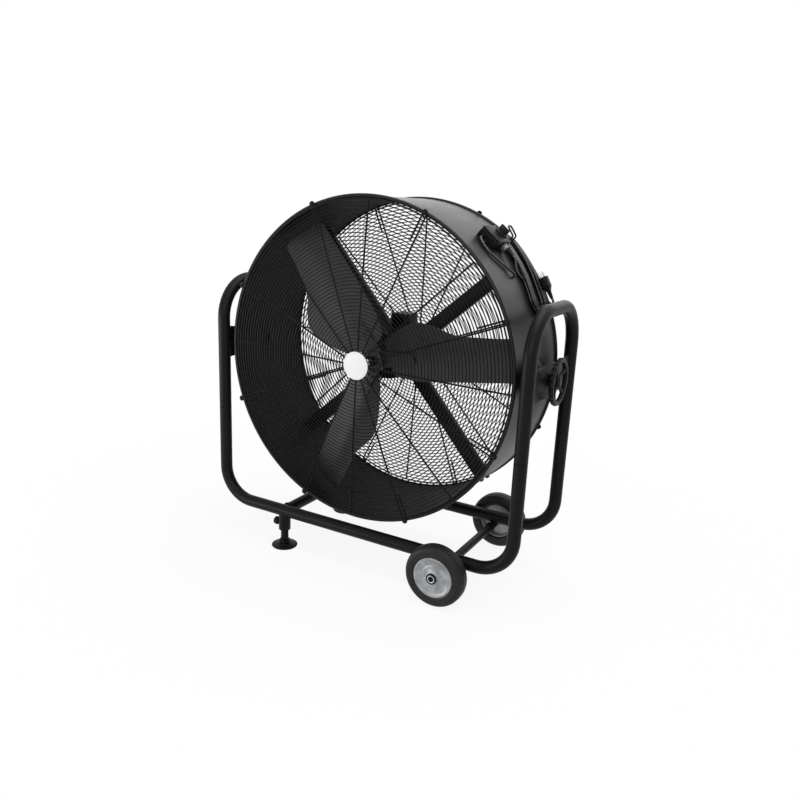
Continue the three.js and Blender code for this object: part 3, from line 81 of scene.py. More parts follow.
def angle(name, description, degrees):
    return FloatProperty(name=name, description=description, default=math.radians(degrees),
                         unit="ROTATION")


def amount(name, description, default, low=1, high=400):
    return IntProperty(name=name, description=description, default=default, min=low, max=high)


def colour(name, description, default):
    return FloatVectorProperty(name=name, description=description, default=default,
                               subtype="COLOR", size=3, min=0.0, max=1.0)


def share(name, description, default):
    return FloatProperty(name=name, description=description, default=default,
                         min=0.0, max=1.0, subtype="FACTOR")


class DrumSizes(bpy.types.PropertyGroup):
    axis_height: length("Axis height", "Fan axis and tilt axis above the floor", 0.644)
    radius: length("Radius", "Outside of the rolled sheet", 0.474)
    wall: length("Wall", "Thickness of the sheet", 0.002)
    depth: length("Depth", "Over both rolled rims", 0.347)
    bead: length("Bead radius", "Radius of the rolled rims", 0.006)
    boss_radius: length("Boss radius", "Radius of the pivot bosses", 0.038)
    boss_face: length("Boss face", "Outer face of a pivot boss from the middle", 0.500)


class GrilleSizes(bpy.types.PropertyGroup):
    rings: amount("Rings", "Ring wires in one grille", 43)
    radials: amount("Radials", "Radial wires in one grille", 16)
    ring_wire: length("Ring wire", "Diameter of a ring wire", 0.0032)
    radial_wire: length("Radial wire", "Diameter of a radial wire", 0.0052)
    inner: length("Innermost ring", "Radius of the innermost ring", 0.038)
    outer: length("Outermost ring", "Radius of the outermost ring", 0.4657)
    dome: length("Dome", "How far the middle stands in front of the edge", 0.015)
    hairpin: length("Hairpin", "Length of the wire that runs back from an eyelet", 0.085)
    hairpin_gap: length("Hairpin gap", "Distance between the two wires of a hairpin", 0.012)
    turn: angle("Turn", "Angle of the first radial wire above +X", -1.8)
    eyelet_place: length("Eyelet place", "Radius at which the eyelets are bolted", 0.477)
    badge: length("Badge radius", "Radius of the plain disc in the middle", 0.041)


class RotorSizes(bpy.types.PropertyGroup):
    blades: amount("Blades", "Number of blades", 3, 2, 8)
    first: angle("First blade", "Angle of the first blade above +X", 8.0)
    root: length("Blade root", "Where a blade starts", 0.044)
    tip: length("Blade tip", "Where a blade ends", 0.456)
    place: length("Blade plane", "Blade plane in front of the drum's middle", 0.093)
    pitch: angle("Pitch", "Pitch of a blade", 20.0)
    sheet: length("Sheet", "Thickness of a blade", 0.003)
    fold: length("Fold", "How deep a blade is folded along its middle", 0.020)
    fold_width: length("Fold width", "Offset at which the fold has opened out", 0.090)
    low_root: length("Trailing half at root", "Width behind the middle, at the root", 0.056)
    low_full: length("Trailing half", "Width behind the middle, further out", 0.070)
    high_root: length("Leading half at root", "Width ahead of the middle, at the root", 0.062)
    high_bulge: length("Leading bulge", "Width ahead of the middle, at the bulge", 0.113)
    high_tip: length("Leading half at tip", "Width ahead of the middle, at the tip", 0.060)
    bulge: share("Bulge place", "Share of the length at which a blade is widest", 0.34)
    arm: length("Spider arm", "How far a spider arm reaches along a blade", 0.132)
    hub_front: length("Hub front", "Front of the spider's hub, ahead of the drum's middle", 0.107)
    corner: length("Tip corner", "How far the tip's corners are drawn in", 0.018)


class MotorSizes(bpy.types.PropertyGroup):
    radius: length("Radius", "Outside of the motor housing", 0.070)
    front: place_along("Front", "Front face of the motor", -0.032)
    rear: length("Rear", "Rear face of the motor's body", 0.122)
    cap: length("End cap", "Length of the rear end cap", 0.018)
    mount: length("Mount plane", "Middle of the band and of the arms", 0.080)
    arm_width: length("Arm width", "Width of a mounting arm", 0.044)
    arm_depth: length("Arm depth", "Depth of a mounting arm", 0.022)
    arm_angle: angle("Arm angle", "Angle of the first arm above +X", 41.0)
    box_width: length("Capacitor box width", "Width of the capacitor box", 0.064)
    box_place: length("Capacitor box place", "Middle of the capacitor box along X", 0.008)
    box_front: length("Capacitor box front", "Front of the capacitor box", 0.030)
    box_rear: length("Capacitor box rear", "Rear of the capacitor box", 0.104)
    box_top: length("Capacitor box top", "Top of the capacitor box above the axis", 0.128)


class FrameSizes(bpy.types.PropertyGroup):
    tube: length("Tube radius", "Radius of the frame tube", 0.019)
    leg_x: length("Leg X", "Middle of the legs, left and right", 0.514)
    leg_y: length("Leg Y", "Middle of the legs, front and rear", 0.177)
    rail: length("Rail height", "Middle of the bottom rails", 0.122)
    base_bend: length("Base bend", "Bend radius of the base tubes", 0.105)
    arch_bend: length("Arch bend", "Bend radius of the arch tubes", 0.120)
    arch_top: length("Arch top", "Middle of the arch tubes at the top", 0.843)
    splice: length("Splice height", "Where an arch plugs into the base", 0.452)
    crossbar: length("Crossbar radius", "Radius of the bar between the feet", 0.018)
    plate_height: length("Plate height", "Height of a pivot plate", 0.100)
    plate_sheet: length("Plate thickness", "Thickness of a pivot plate", 0.005)


class FootSizes(bpy.types.PropertyGroup):
    place: place_along("Foot X", "Place of the feet along X", -0.268)
    pad: length("Pad radius", "Radius of a foot pad", 0.042)
    pad_height: length("Pad height", "Height of a foot pad", 0.012)
    stem: length("Stem radius", "Radius of a foot stem", 0.0125)
    socket: length("Socket radius", "Radius of a foot socket", 0.019)
    socket_bottom: length("Socket bottom", "Lower end of a foot socket", 0.058)
    knob_height: length("Knob height", "Height of a foot's locking knob", 0.080)


class WheelSizes(bpy.types.PropertyGroup):
    place_x: length("Wheel X", "Wheel axle along X", 0.313)
    place_y: length("Wheel Y", "Middle of a tyre along Y", 0.233)
    radius: length("Radius", "Radius of a tyre", 0.091)
    width: length("Width", "Width of a tyre", 0.050)
    rim: length("Rim radius", "Radius at which the tyre sits on the rim", 0.056)
    hub: length("Hub radius", "Radius of the hub", 0.016)
    hub_length: length("Hub length", "Length of the hub", 0.056)
    axle: length("Axle radius", "Radius of the axle between the wheels", 0.0125)
    spindle: length("Spindle radius", "Radius of the axle inside the wheels", 0.008)


class HandwheelSizes(bpy.types.PropertyGroup):
    radius: length("Radius", "Outside of the handwheel", 0.068)
    rim: length("Rim", "Thickness of the handwheel's rim", 0.014)
    lobes: amount("Lobes", "Finger lobes round the rim", 24)
    lobe_depth: length("Lobe depth", "Depth of the finger lobes", 0.0025)
    spokes: amount("Spokes", "Number of spokes", 5, 2, 12)
    hub: length("Hub radius", "Radius of the handwheel's hub", 0.017)
    hub_length: length("Hub length", "Length of the handwheel's hub", 0.030)


class ElectricSizes(bpy.types.PropertyGroup):
    box_angle: angle("Box angle", "Angle of the control box above +X", 50.5)
    box_length: length("Box length", "Control box along the drum's curve", 0.066)
    box_front: place_along("Box front", "Front end of the control box", -0.024)
    box_rear: length("Box rear", "Rear end of the control box", 0.066)
    box_height: length("Box height", "Height of the control box above the sheet", 0.024)
    cover: length("Cover", "Thickness of the control box cover", 0.004)
    knob: length("Speed knob radius", "Radius of the speed knob", 0.020)
    knob_place: length("Speed knob place", "Place of the speed knob along Y", 0.045)
    knob_height: length("Speed knob height", "Height of the speed knob", 0.022)
    gland_place: length("Gland place", "Place of the gland along Y", 0.030)
    gland_rise: length("Gland rise", "Height of the gland above the sheet", 0.012)
    plug_angle: angle("Plug angle", "Angle of the plug above +X", 29.8)
    plug_place: length("Plug place", "Place of the plug along Y", 0.126)


class CordSizes(bpy.types.PropertyGroup):
    radius: length("Cord radius", "Radius of the mains cord", 0.0035)
    middle: angle("Hank angle", "Angle of the hank's middle above +X", 37.0)
    loops: FloatProperty(name="Loops", description="Loops in the hank", default=5.25, min=2.0, max=12.0)
    pitch: length("Loop pitch", "From one loop to the next", 0.0084)
    layer: length("Layer", "From one layer to the next", 0.0077)
    half_run: length("Half run", "Half of the hank's straight run", 0.088)
    top_place: length("Top place", "Place of the hank's upper end along Y", 0.112)
    top_radius: length("Top radius", "Radius of the innermost loop at its upper end", 0.021)
    bottom_place: length("Bottom place", "Place of the hank's lower end along Y", 0.080)
    bottom_radius: length("Bottom radius", "Radius of the innermost loop at its lower end", 0.030)
    start: share("Start", "Where on its front run the hank begins", 0.75)
    hook_wire: length("Hook wire", "Radius of a hook's wire", 0.0025)
    hook_width: length("Hook width", "Width of a hook", 0.024)
    hook_stand: length("Hook stand", "Height at which a hook bends over", 0.032)
    hook_reach: length("Hook reach", "How far a hook reaches along the curve", 0.030)


class Finishes(bpy.types.PropertyGroup):
    frame_paint: colour("Frame paint", "Powder coat on the tube frame", (0.0045, 0.0045, 0.0052))
    drum_paint: colour("Drum paint", "Powder coat on the drum", (0.0045, 0.0045, 0.0052))
    wire_paint: colour("Wire paint", "Coat on the grille wires", (0.0045, 0.0045, 0.0050))
    blade_paint: colour("Blade paint", "Paint on the blades", (0.024, 0.024, 0.0255))
    steel: colour("Rim paint", "Grey finish of the wheel rims", (0.36, 0.37, 0.38))
    zinc: colour("Zinc", "Plated fasteners", (0.60, 0.61, 0.63))
    rubber: colour("Rubber", "Tyre rubber", (0.007, 0.007, 0.0075))
    plastic: colour("Plastic", "Black mouldings", (0.006, 0.006, 0.0065))
    sheath: colour("Cord sheath", "Sheath of the cords", (0.006, 0.006, 0.0065))
    badge: colour("Badge", "The plain disc", (0.72, 0.72, 0.71))
    sheen: share("Sheen", "Specular level of the black finishes, 0.5 being plain plastic", 0.11)


class StageSizes(bpy.types.PropertyGroup):
    lens: FloatProperty(name="Lens", description="Focal length for a 36 mm sensor", default=33.44)
    lamp: FloatProperty(name="Lamp strength", description="Strength of the lamps", default=1.0, min=0.0)
    sky: FloatProperty(name="Sky strength", description="Strength of the world's light", default=0.42,
                       min=0.0)


GROUPS = {
    "drum": DrumSizes, "grille": GrilleSizes, "rotor": RotorSizes, "motor": MotorSizes,
    "frame": FrameSizes, "foot": FootSizes, "wheel": WheelSizes, "handwheel": HandwheelSizes,
    "electric": ElectricSizes, "cord": CordSizes, "finish": Finishes, "stage": StageSizes,
}


class DrumFan(bpy.types.PropertyGroup):
    """All sizes and colours of the fan."""
    __annotations__ = {key: PointerProperty(type=group) for key, group in GROUPS.items()}


def fan():
    return bpy.context.scene.drum_fan


# ---------------------------------------------------------------- surfaces

def unit(v):
    """The vectors divided by their lengths."""
    return v / np.linalg.norm(v, axis=-1, keepdims=True)


def circle(sides):
    """Angles evenly round a circle."""
    return np.linspace(0, TAU, sides, endpoint=False)


def points(*parts):
    """Three arrays that spread to one shape, as a grid of points."""
    return np.stack(np.broadcast_arrays(*parts), -1)


def around_axis(axis, place, radius, a):
    """Points at a place along the axis and a radius from it, at the angle round it."""
    c, s = radius * np.cos(a), radius * np.sin(a)
    return points(*{"X": (place, c, s), "Y": (c, place, s), "Z": (c, s, place)}[axis])


def squared(a, wide, tall):
    """Circle drawn out towards its box: cosine and sine, each with its size raised to a power."""
    c, s = np.cos(a), np.sin(a)
    return np.sign(c) * np.abs(c) ** wide, np.sign(s) * np.abs(s) ** tall


def directions(path, outward):
    """Two directions across the path: its own direction crossed with the outward one, and the one
    square to both."""
    along = unit(np.gradient(path, axis=0))
    side = unit(np.cross(along, outward))
    return side, np.cross(side, along)


def sweep(path, radius, outward, sides):
    """Tube: round each point of the path lies a circle across the path."""
    path = np.asarray(path, float)
    side, up = directions(path, outward)
    a = circle(sides)[None, :, None]
    r = np.broadcast_to(radius, len(path))[:, None, None]
    return path[:, None] + r * (np.cos(a) * side[:, None] + np.sin(a) * up[:, None])


def lathe(profile, axis, sides, at=(0, 0, 0)):
    """Body of revolution: each (radius, place) of the profile is carried round the axis."""
    profile = np.asarray(profile, float)
    grid = around_axis(axis, profile[:, 1:], profile[:, :1], circle(sides)[None, :])
    return grid + np.asarray(at, float)


def ring_wire(radius, wire, at, around, sides):
    """Torus about Y: a small circle carried round a large one."""
    b = circle(sides)[None, :]
    grid = around_axis("Y", wire * np.sin(b), radius + wire * np.cos(b), circle(around)[:, None])
    return grid + np.asarray(at, float)


def rounded(corners, radius, steps):
    """Corners of a profile turned into arcs: near each corner the profile follows a parabola that
    leaves and meets the two edges at the given distance, or half the shorter edge."""
    corners = [np.asarray(p, float) for p in corners]
    out = [corners[0]]
    for before, corner, after in zip(corners, corners[1:], corners[2:]):
        to_before, to_after = before - corner, after - corner
        reach = min(radius, np.linalg.norm(to_before) * 0.49, np.linalg.norm(to_after) * 0.49)
        if reach <= 1e-6:
            out.append(corner)
            continue
        start = corner + unit(to_before) * reach
        end = corner + unit(to_after) * reach
        t = np.linspace(0, 1, steps + 1)[:, None]
        out.extend((1 - t) ** 2 * start + 2 * t * (1 - t) * corner + t ** 2 * end)
    out.append(corners[-1])
    return np.array(out)


def bent(corners, bend, steps=14, straight=0.03):
    """Path of straight runs joined by circular bends, with points along the runs as well."""
    corners = np.asarray(corners, float)
    out = [corners[:1]]
    for before, corner, after in zip(corners, corners[1:], corners[2:]):
        into, leave = unit(corner - before), unit(after - corner)
        turn = math.acos(float(np.clip(into @ leave, -1, 1)))
        inward = unit(leave - into * (into @ leave))
        start = corner - into * bend * math.tan(turn / 2)
        t = np.linspace(0, turn, steps + 1)[:, None]
        out.append(start + bend * (np.sin(t) * into + (1 - np.cos(t)) * inward))
    out.append(corners[-1:])
    path = np.concatenate(out)
    gaps = np.linalg.norm(np.diff(path, axis=0), axis=1)
    count = np.maximum(1, np.round(gaps / straight).astype(int))
    filled = [np.linspace(a, b, n, endpoint=False) for a, b, n in zip(path, path[1:], count)]
    return np.concatenate(filled + [path[-1:]])


def smooth_path(through, per_span=10):
    """Centripetal Catmull-Rom curve through the points: each span blends the lines through its four
    nearest points, with knots at the square roots of their distances."""
    p = np.asarray(through, float)
    p = np.concatenate(([2 * p[0] - p[1]], p, [2 * p[-1] - p[-2]]))
    out = []
    for a, b, c, d in zip(p, p[1:], p[2:], p[3:]):
        t0 = 0.0
        t1 = t0 + math.sqrt(np.linalg.norm(b - a))
        t2 = t1 + math.sqrt(np.linalg.norm(c - b))
        t3 = t2 + math.sqrt(np.linalg.norm(d - c))
        t = np.linspace(t1, t2, per_span, endpoint=False)[:, None]
        ab = ((t1 - t) * a + (t - t0) * b) / (t1 - t0)
        bc = ((t2 - t) * b + (t - t1) * c) / (t2 - t1)
        cd = ((t3 - t) * c + (t - t2) * d) / (t3 - t2)
        abc = ((t2 - t) * ab + (t - t0) * bc) / (t2 - t0)
        bcd = ((t3 - t) * bc + (t - t1) * cd) / (t3 - t1)
        out.append(((t2 - t) * abc + (t - t1) * bcd) / (t2 - t1))
    return np.concatenate(out + [p[-2:-1]])


def rounded_box(size, at, corner, steps):
    """Box with round edges: each direction of a sphere, times the corner radius, is moved out to the
    box's own inner corner on its side."""
    half = np.asarray(size, float) / 2
    corner = min(corner, *half)
    quarter = np.linspace(0, QUARTER, steps)
    around = np.concatenate([quarter + k * QUARTER for k in range(4)])
    side = np.repeat(np.arange(4), steps)
    tall = np.concatenate([quarter - QUARTER, quarter])[:, None]
    n = points(np.cos(tall) * np.cos(around), np.cos(tall) * np.sin(around), np.sin(tall))
    sign = points(np.where(np.isin(side, (0, 3)), 1, -1), np.where(np.isin(side, (0, 1)), 1, -1),
                  np.repeat([-1, 1], steps)[:, None])
    return sign * (half - corner) + corner * n + np.asarray(at, float)


def cylinder(radius, low, high, inner=0):
    """Profile of a plain cylinder or tube."""
    return [(inner, low), (radius, low), (radius, high), (inner, high)]


def hexagon(across, low, high, axis, at=(0, 0, 0), bevel=0.0008):
    """Six-sided prism with chamfered ends: a body of revolution with six sides."""
    r = across / 2 / math.cos(math.pi / 6)
    return lathe([(0, low), (r - bevel, low), (r, low + bevel), (r, high - bevel), (r - bevel, high),
                  (0, high)], axis, 6, at)


def dome_head(radius, height, axis, at, sign=1):
    """Rivet head: a quarter of an ellipse carried round the axis."""
    t = np.linspace(0, QUARTER, 6)
    profile = np.stack((radius * np.cos(t), sign * height * np.sin(t)), -1)
    return lathe([(0, 0), *profile], axis, 16, at)


def ribbed(radius, low, high, thinner, pitch, depth, end):
    """Strain relief: a taper between two places, stepped in by narrow grooves at an even pitch."""
    x = np.linspace(low, high, 60)
    taper = radius - thinner * (x - low) / (high - low)
    groove = 1 - depth * (np.cos(TAU * (x - low) / pitch) > 0.2)
    return [(0, low), *zip(taper * groove, x), (0, end)]


def pose(x, y, z, at):
    """Matrix of a place and its three directions."""
    m = np.eye(4)
    m[:3] = np.stack((x, y, z, at), 1)
    return m


def moved(grid, matrix):
    """The grid's points carried by a 4 by 4 matrix."""
    return grid @ matrix[:3, :3].T + matrix[:3, 3]


def turned(grid, a, axis="Y"):
    """The grid turned about X from +Y to +Z, about Y from +X to +Z or about Z from +X to +Y."""
    i, j = {"X": (1, 2), "Y": (0, 2), "Z": (0, 1)}[axis]
    c, s = math.cos(a), math.sin(a)
    out = grid.copy()
    out[..., i] = grid[..., i] * c - grid[..., j] * s
    out[..., j] = grid[..., i] * s + grid[..., j] * c
    return out


def ease(t):
    """0 to 1 with a level start and end."""
    t = np.clip(t, 0, 1)
    return t * t * (3 - 2 * t)


class Surface:
    """Grids of points that become one mesh. Each grid is carried to its place as it is added."""

    def __init__(self, place=None):
        self.place = place or (lambda grid: grid)
        self.points = []
        self.quads = []
        self.caps = []
        self.count = 0

    def add(self, grid, around=True, along=False, caps=True):
        """Four neighbours in the grid make a face. The second direction closes on itself with
        around, and the first with along; otherwise its two ends get a cap."""
        grid = self.place(grid)
        rows, columns = grid.shape[:2]
        index = np.arange(rows * columns).reshape(rows, columns) + self.count
        if around:
            index = np.concatenate((index, index[:, :1]), 1)
        if along:
            index = np.concatenate((index, index[:1]), 0)
        faces = np.stack((index[:-1, :-1], index[:-1, 1:], index[1:, 1:], index[1:, :-1]), -1)
        self.quads.append(faces.reshape(-1, 4))
        if caps and around and not along:
            self.caps.append(index[0, :-1][::-1].tolist())
            self.caps.append(index[-1, :-1].tolist())
        self.points.append(grid.reshape(-1, 3))
        self.count += rows * columns
        return self

    def mesh(self, name, sharp):
        faces = np.concatenate(self.quads).tolist() + self.caps
        data = bpy.data.meshes.new(name)
        data.from_pydata(np.concatenate(self.points).tolist(), [], faces)
        work = bmesh.new()
        work.from_mesh(data)
        bmesh.ops.remove_doubles(work, verts=work.verts, dist=2e-6)
        bmesh.ops.dissolve_degenerate(work, dist=1e-7, edges=work.edges)
        bmesh.ops.recalc_face_normals(work, faces=work.faces)
        work.to_mesh(data)
        work.free()
        data.shade_smooth()
        data.set_sharp_from_angle(angle=math.radians(sharp))
        return data


def piece(name, surface, body, finish, nodes=(), sharp=35):
    """Makes one object of a surface, gives it its finish and puts it on its body. Its slot is its finish's
    own."""
    data = surface.mesh(name, sharp)
    data.materials.append(finish_named(finish))
    obj = bpy.data.objects.new(name, data)
    bpy.context.scene.collection.objects.link(obj)
    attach(obj, body)
    if nodes:
        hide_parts(*nodes)
    return obj


# ---------------------------------------------------------------- finishes

class Value:
    """A socket that can be used in Python arithmetic: each operator adds one Math node."""

    def __init__(self, graph, socket):
        self.graph = graph
        self.socket = socket

    def math(self, operation, *others, clamp=False):
        return self.graph.node("ShaderNodeMath", {"operation": operation, "use_clamp": clamp},
                               self, *others).out()

    def __add__(self, other):
        return self.math("ADD", other)

    def __sub__(self, other):
        return self.math("SUBTRACT", other)

    def __mul__(self, other):
        return self.math("MULTIPLY", other)

    def __truediv__(self, other):
        return self.math("DIVIDE", other)

    def __pow__(self, other):
        return self.math("POWER", other)

    def __rsub__(self, other):
        return (self * -1) + other

    def clamp(self):
        return self.math("ADD", 0.0, clamp=True)

    def step(self, low, high):
        """0 below low, 1 above high, and even in between."""
        return ((self - low) / (high - low)).clamp()


class Node:
    """A node of a graph, whose outputs are values."""

    def __init__(self, graph, node):
        self.graph = graph
        self.node = node

    def out(self, name=0):
        return Value(self.graph, self.node.outputs[name])


class Graph:
    """The node tree of a new material, or of a new world."""

    def __init__(self, name, kind="Material"):
        self.owner = (bpy.data.worlds if kind == "World" else bpy.data.materials).new(name)
        self.owner.use_nodes = True
        self.tree = self.owner.node_tree
        self.tree.nodes.clear()
        self.output = self.tree.nodes.new("ShaderNodeOutput" + kind)

    def node(self, kind, settings=None, *values, **named):
        """Adds a node: its settings first, then values or links for its sockets, in order or by
        name with an underscore for each space."""
        made = self.tree.nodes.new(kind)
        for key, value in (settings or {}).items():
            setattr(made, key, value)
        for key, value in [*enumerate(values), *((k.replace("_", " "), v) for k, v in named.items())]:
            self.set(made.inputs[key], value)
        return Node(self, made)

    def set(self, socket, value):
        if isinstance(value, Value):
            self.tree.links.new(value.socket, socket)
        elif hasattr(value, "__len__") and len(value) == 3 and socket.type == "RGBA":
            socket.default_value = (*value, 1.0)
        else:
            socket.default_value = value

    def finish(self, made):
        self.set(self.output.inputs[0], made.out())
        return self.owner

    def coordinates(self):
        return self.node("ShaderNodeTexCoord").out("Object")

    def noise(self, scale, detail, roughness):
        return self.node("ShaderNodeTexNoise", {}, Vector=self.coordinates(), Scale=scale,
                         Detail=detail, Roughness=roughness).out("Fac")

    def mix(self, factor, first, second):
        """Between two colours."""
        made = self.node("ShaderNodeMix", {"data_type": "RGBA"}).node
        for key, value in ((0, factor), (6, first), (7, second)):
            self.set(made.inputs[key], value)
        return Value(self, made.outputs[2])

    def bump(self, height, distance, strength):
        return self.node("ShaderNodeBump", {}, Strength=strength, Distance=distance,
                         Height=height).out("Normal")

    def seen_rays(self):
        """1 for rays from the camera, from a glossy surface or through glass."""
        rays = self.node("ShaderNodeLightPath")
        return (rays.out("Is Camera Ray") + rays.out("Is Glossy Ray")
                + rays.out("Is Transmission Ray")).clamp()

    def shader(self, base, roughness, metallic=0.0, normal=None, **fixed):
        made = self.node("ShaderNodeBsdfPrincipled", {}, Base_Color=base, Roughness=roughness,
                         Metallic=metallic, **fixed)
        if normal:
            self.set(made.node.inputs["Normal"], normal)
        return self.finish(made)


def scaled(shade, factor):
    """The colour times a factor, and white at most."""
    return tuple(min(1.0, c * factor) for c in shade)


def powder_coat(name, shade, roughness, peel=0.00012, dust=0.35, grain=620.0, inside=None):
    """Powder coat: an orange-peel bump, roughness that varies with it, and a little pale dust. Within
    the inside radius, if one is given, it is a thin and duller coat."""
    g = Graph(name)
    peel_noise = g.noise(grain, 2.0, 0.5)
    patches = g.noise(9.0, 4.0, 0.6)
    specks = g.noise(1400.0, 2.0, 0.6).step(0.66, 0.78)
    dusty = (patches.step(0.45, 0.75) * dust * 0.5 + specks * dust * 0.4).clamp()
    base = g.mix(dusty, shade, scaled(shade, 2.6))
    rough = (peel_noise - 0.5) * 0.10 + patches * 0.12 + (roughness - 0.06)
    sheen = fan().finish.sheen
    if inside:
        sheen = sheen * 1.8
        split = g.node("ShaderNodeSeparateXYZ", {}, g.coordinates())
        up = split.out("Z") - fan().drum.axis_height
        across = (split.out("X") * split.out("X") + up * up) ** 0.5
        rough = rough + (1 - across.step(inside - 0.0004, inside + 0.0004)) * 0.34
    return g.shader(base, rough.clamp(), normal=g.bump(peel_noise, peel, 0.6), Specular_IOR_Level=sheen)


def frame_paint():
    """Powder coat of the tubes."""
    return powder_coat("frame_powder_coat", fan().finish.frame_paint, 0.42, 0.00010)


def drum_paint():
    """Powder coat of the drum, duller inside the middle of its wall."""
    d = fan().drum
    return powder_coat("drum_powder_coat", fan().finish.drum_paint, 0.40, inside=d.radius - d.wall / 2)


def wire_paint():
    """Finer and less dusty coat of the wires."""
    return powder_coat("wire_coat", fan().finish.wire_paint, 0.45, 0.00004, 0.2, 900.0)


def mottled(name, shade, patches, fine, edges, shades, rough, bump=None, metallic=0.0, **fixed):
    """A finish with soft patches between two strengths of its colour. Edges is where the patches
    start and are full, and how much of the second strength they get. Roughness is a level, the last
    of rough, plus the patches and the fine grain, each times its share. Bump is the grain's depth
    and strength. Without a fine noise the patches are the grain too."""
    g = Graph(name)
    patch = g.noise(*patches)
    grain = g.noise(*fine) if fine else patch
    base = g.mix(patch.step(*edges[:2]) * edges[2], scaled(shade, shades[0]), scaled(shade, shades[1]))
    parts = [noise * part for noise, part in zip((patch, grain), rough) if part]
    level = sum(parts[1:], parts[0] + rough[-1]).clamp()
    return g.shader(base, level, metallic, bump and g.bump(grain, *bump), **fixed)


def blade_paint():
    """Satin paint on pressed sheet."""
    return mottled("blade_satin_paint", fan().finish.blade_paint, (14.0, 5.0, 0.6), (700.0, 2.0, 0.5),
                   (0.4, 0.8, 0.5), (1, 1.8), (0.16, 0.05, 0.30), (0.00005, 0.5), Specular_IOR_Level=0.4)


def zinc():
    """Bright plating with duller patches."""
    return mottled("zinc_plate", fan().finish.zinc, (160.0, 3.0, 0.6), (2600.0, 2.0, 0.5),
                   (0.35, 0.75, 1), (0.72, 1), (0.18, 0, 0.22), (0.00001, 0.4), 1.0)


def rim_steel():
    """Grey painted pressing with a slightly rough face and darker grime in patches."""
    return mottled("rim_grey", fan().finish.steel, (45.0, 5.0, 0.62), (1500.0, 3.0, 0.6),
                   (0.38, 0.68, 1), (0.62, 1), (0.2, 0, 0.34), (0.00005, 0.5), 0.55)


def tyre_rubber():
    """Grained rubber with worn patches."""
    return mottled("tyre_rubber", fan().finish.rubber, (30.0, 4.0, 0.6), (1800.0, 3.0, 0.65),
                   (0.45, 0.75, 0.6), (1, 2.2), (0, 0.1, 0.44), (0.00012, 0.7),
                   Specular_IOR_Level=2 * fan().finish.sheen)


def black_plastic():
    """Grained black moulding."""
    return mottled("black_moulding", fan().finish.plastic, (25.0, 3.0, 0.5), (1700.0, 2.0, 0.5),
                   (0.4, 0.8, 0.4), (1, 1.9), (0, 0.14, 0.38), (0.00006, 0.6),
                   Specular_IOR_Level=fan().finish.sheen)


def sheath():
    """Glossier moulding of the cords, with one noise for shade, roughness and bump."""
    return mottled("cord_sheath", fan().finish.sheath, (900.0, 2.0, 0.5), None, (0.5, 0.9, 0.4),
                   (1, 1.8), (0.12, 0, 0.28), (0.00004, 0.5), Specular_IOR_Level=5 * fan().finish.sheen)


def badge_plastic():
    """White moulding, a tenth darker in patches at most."""
    return mottled("badge_plain", fan().finish.badge, (60.0, 3.0, 0.5), None, (0.4, 0.8, 0.25),
                   (1, 0.9), (0.1, 0, 0.4))


def nylon():
    """Off-white bushes between two shades."""
    g = Graph("nylon")
    patches = g.noise(200.0, 3.0, 0.5)
    base = g.mix(patches, (0.62, 0.61, 0.57), (0.72, 0.71, 0.67))
    return g.shader(base, (patches * 0.1 + 0.45).clamp())


def winding():
    """Varnished copper: fine wires drawn as bands round the motor's axis."""
    g = Graph("copper_winding")
    wires = g.node("ShaderNodeTexWave", {"bands_direction": "Y"}, Vector=g.coordinates(), Scale=180.0,
                   Distortion=0.4, Detail=1.0).out("Fac")
    base = g.mix(wires, (0.22, 0.08, 0.03), (0.52, 0.24, 0.10))
    return g.shader(base, (wires * 0.2 + 0.3).clamp(), 0.8, g.bump(wires, 0.0003, 0.8))


def grey_gland():
    """Translucent grey moulding, drawn as a glossy grey."""
    g = Graph("clear_cover")
    grain = g.noise(300.0, 2.0, 0.5)
    return g.shader((0.19, 0.195, 0.20), (grain * 0.08 + 0.16).clamp(), Coat_Weight=0.4)


MAKERS = {
    "frame": frame_paint, "drum": drum_paint, "wire": wire_paint, "blade": blade_paint, "zinc": zinc,
    "rim": rim_steel, "rubber": tyre_rubber, "plastic": black_plastic, "sheath": sheath,
    "badge": badge_plastic, "nylon": nylon, "winding": winding, "gland": grey_gland,
}
MADE = {}


def finish_named(key):
    """A finish's material, made when it is first asked for."""
    if key not in MADE:
        MADE[key] = MAKERS[key]()
    return MADE[key]


def repaint(finish, *nodes):
    """A CAD node that stays gets a finish of its own."""
    for name in nodes:
        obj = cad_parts[name]
        obj.data.materials.clear()
        obj.data.materials.append(finish_named(finish))


# ---------------------------------------------------------------- places

def lifted(grid):
    """From the fan's axis to its height above the floor."""
    return grid + np.array([0, 0, fan().drum.axis_height])


def seat(a):
    """Matrix of a place on the drum: Z points out of the drum at the angle, X down its curve."""
    c, s = math.cos(a), math.sin(a)
    return pose((s, 0, -c), (0, 1, 0), (c, 0, s), (0, 0, fan().drum.axis_height))


def seated(a):
    """Carries a grid to the drum's seat at the angle."""
    return lambda grid: moved(grid, seat(a))


def on_drum(run, y, height):
    """Point on the drum: distance down the curve from the hank's middle, place along the axis, and
    height above the sheet, as arrays of one shape."""
    d = fan().drum
    a = fan().cord.middle - run / d.radius
    return lifted(around_axis("Y", y, d.radius + height, a))


def outward_of(path):
    """Direction out of the drum at each point."""
    return unit((path - np.array([0, 0, fan().drum.axis_height])) * np.array([1, 0, 1]))


def mirrored(profile):
    """The profile on the other side of the middle, in the opposite order."""
    return [(r, -p) for r, p in profile[::-1]]


# ---------------------------------------------------------------- drum and grilles

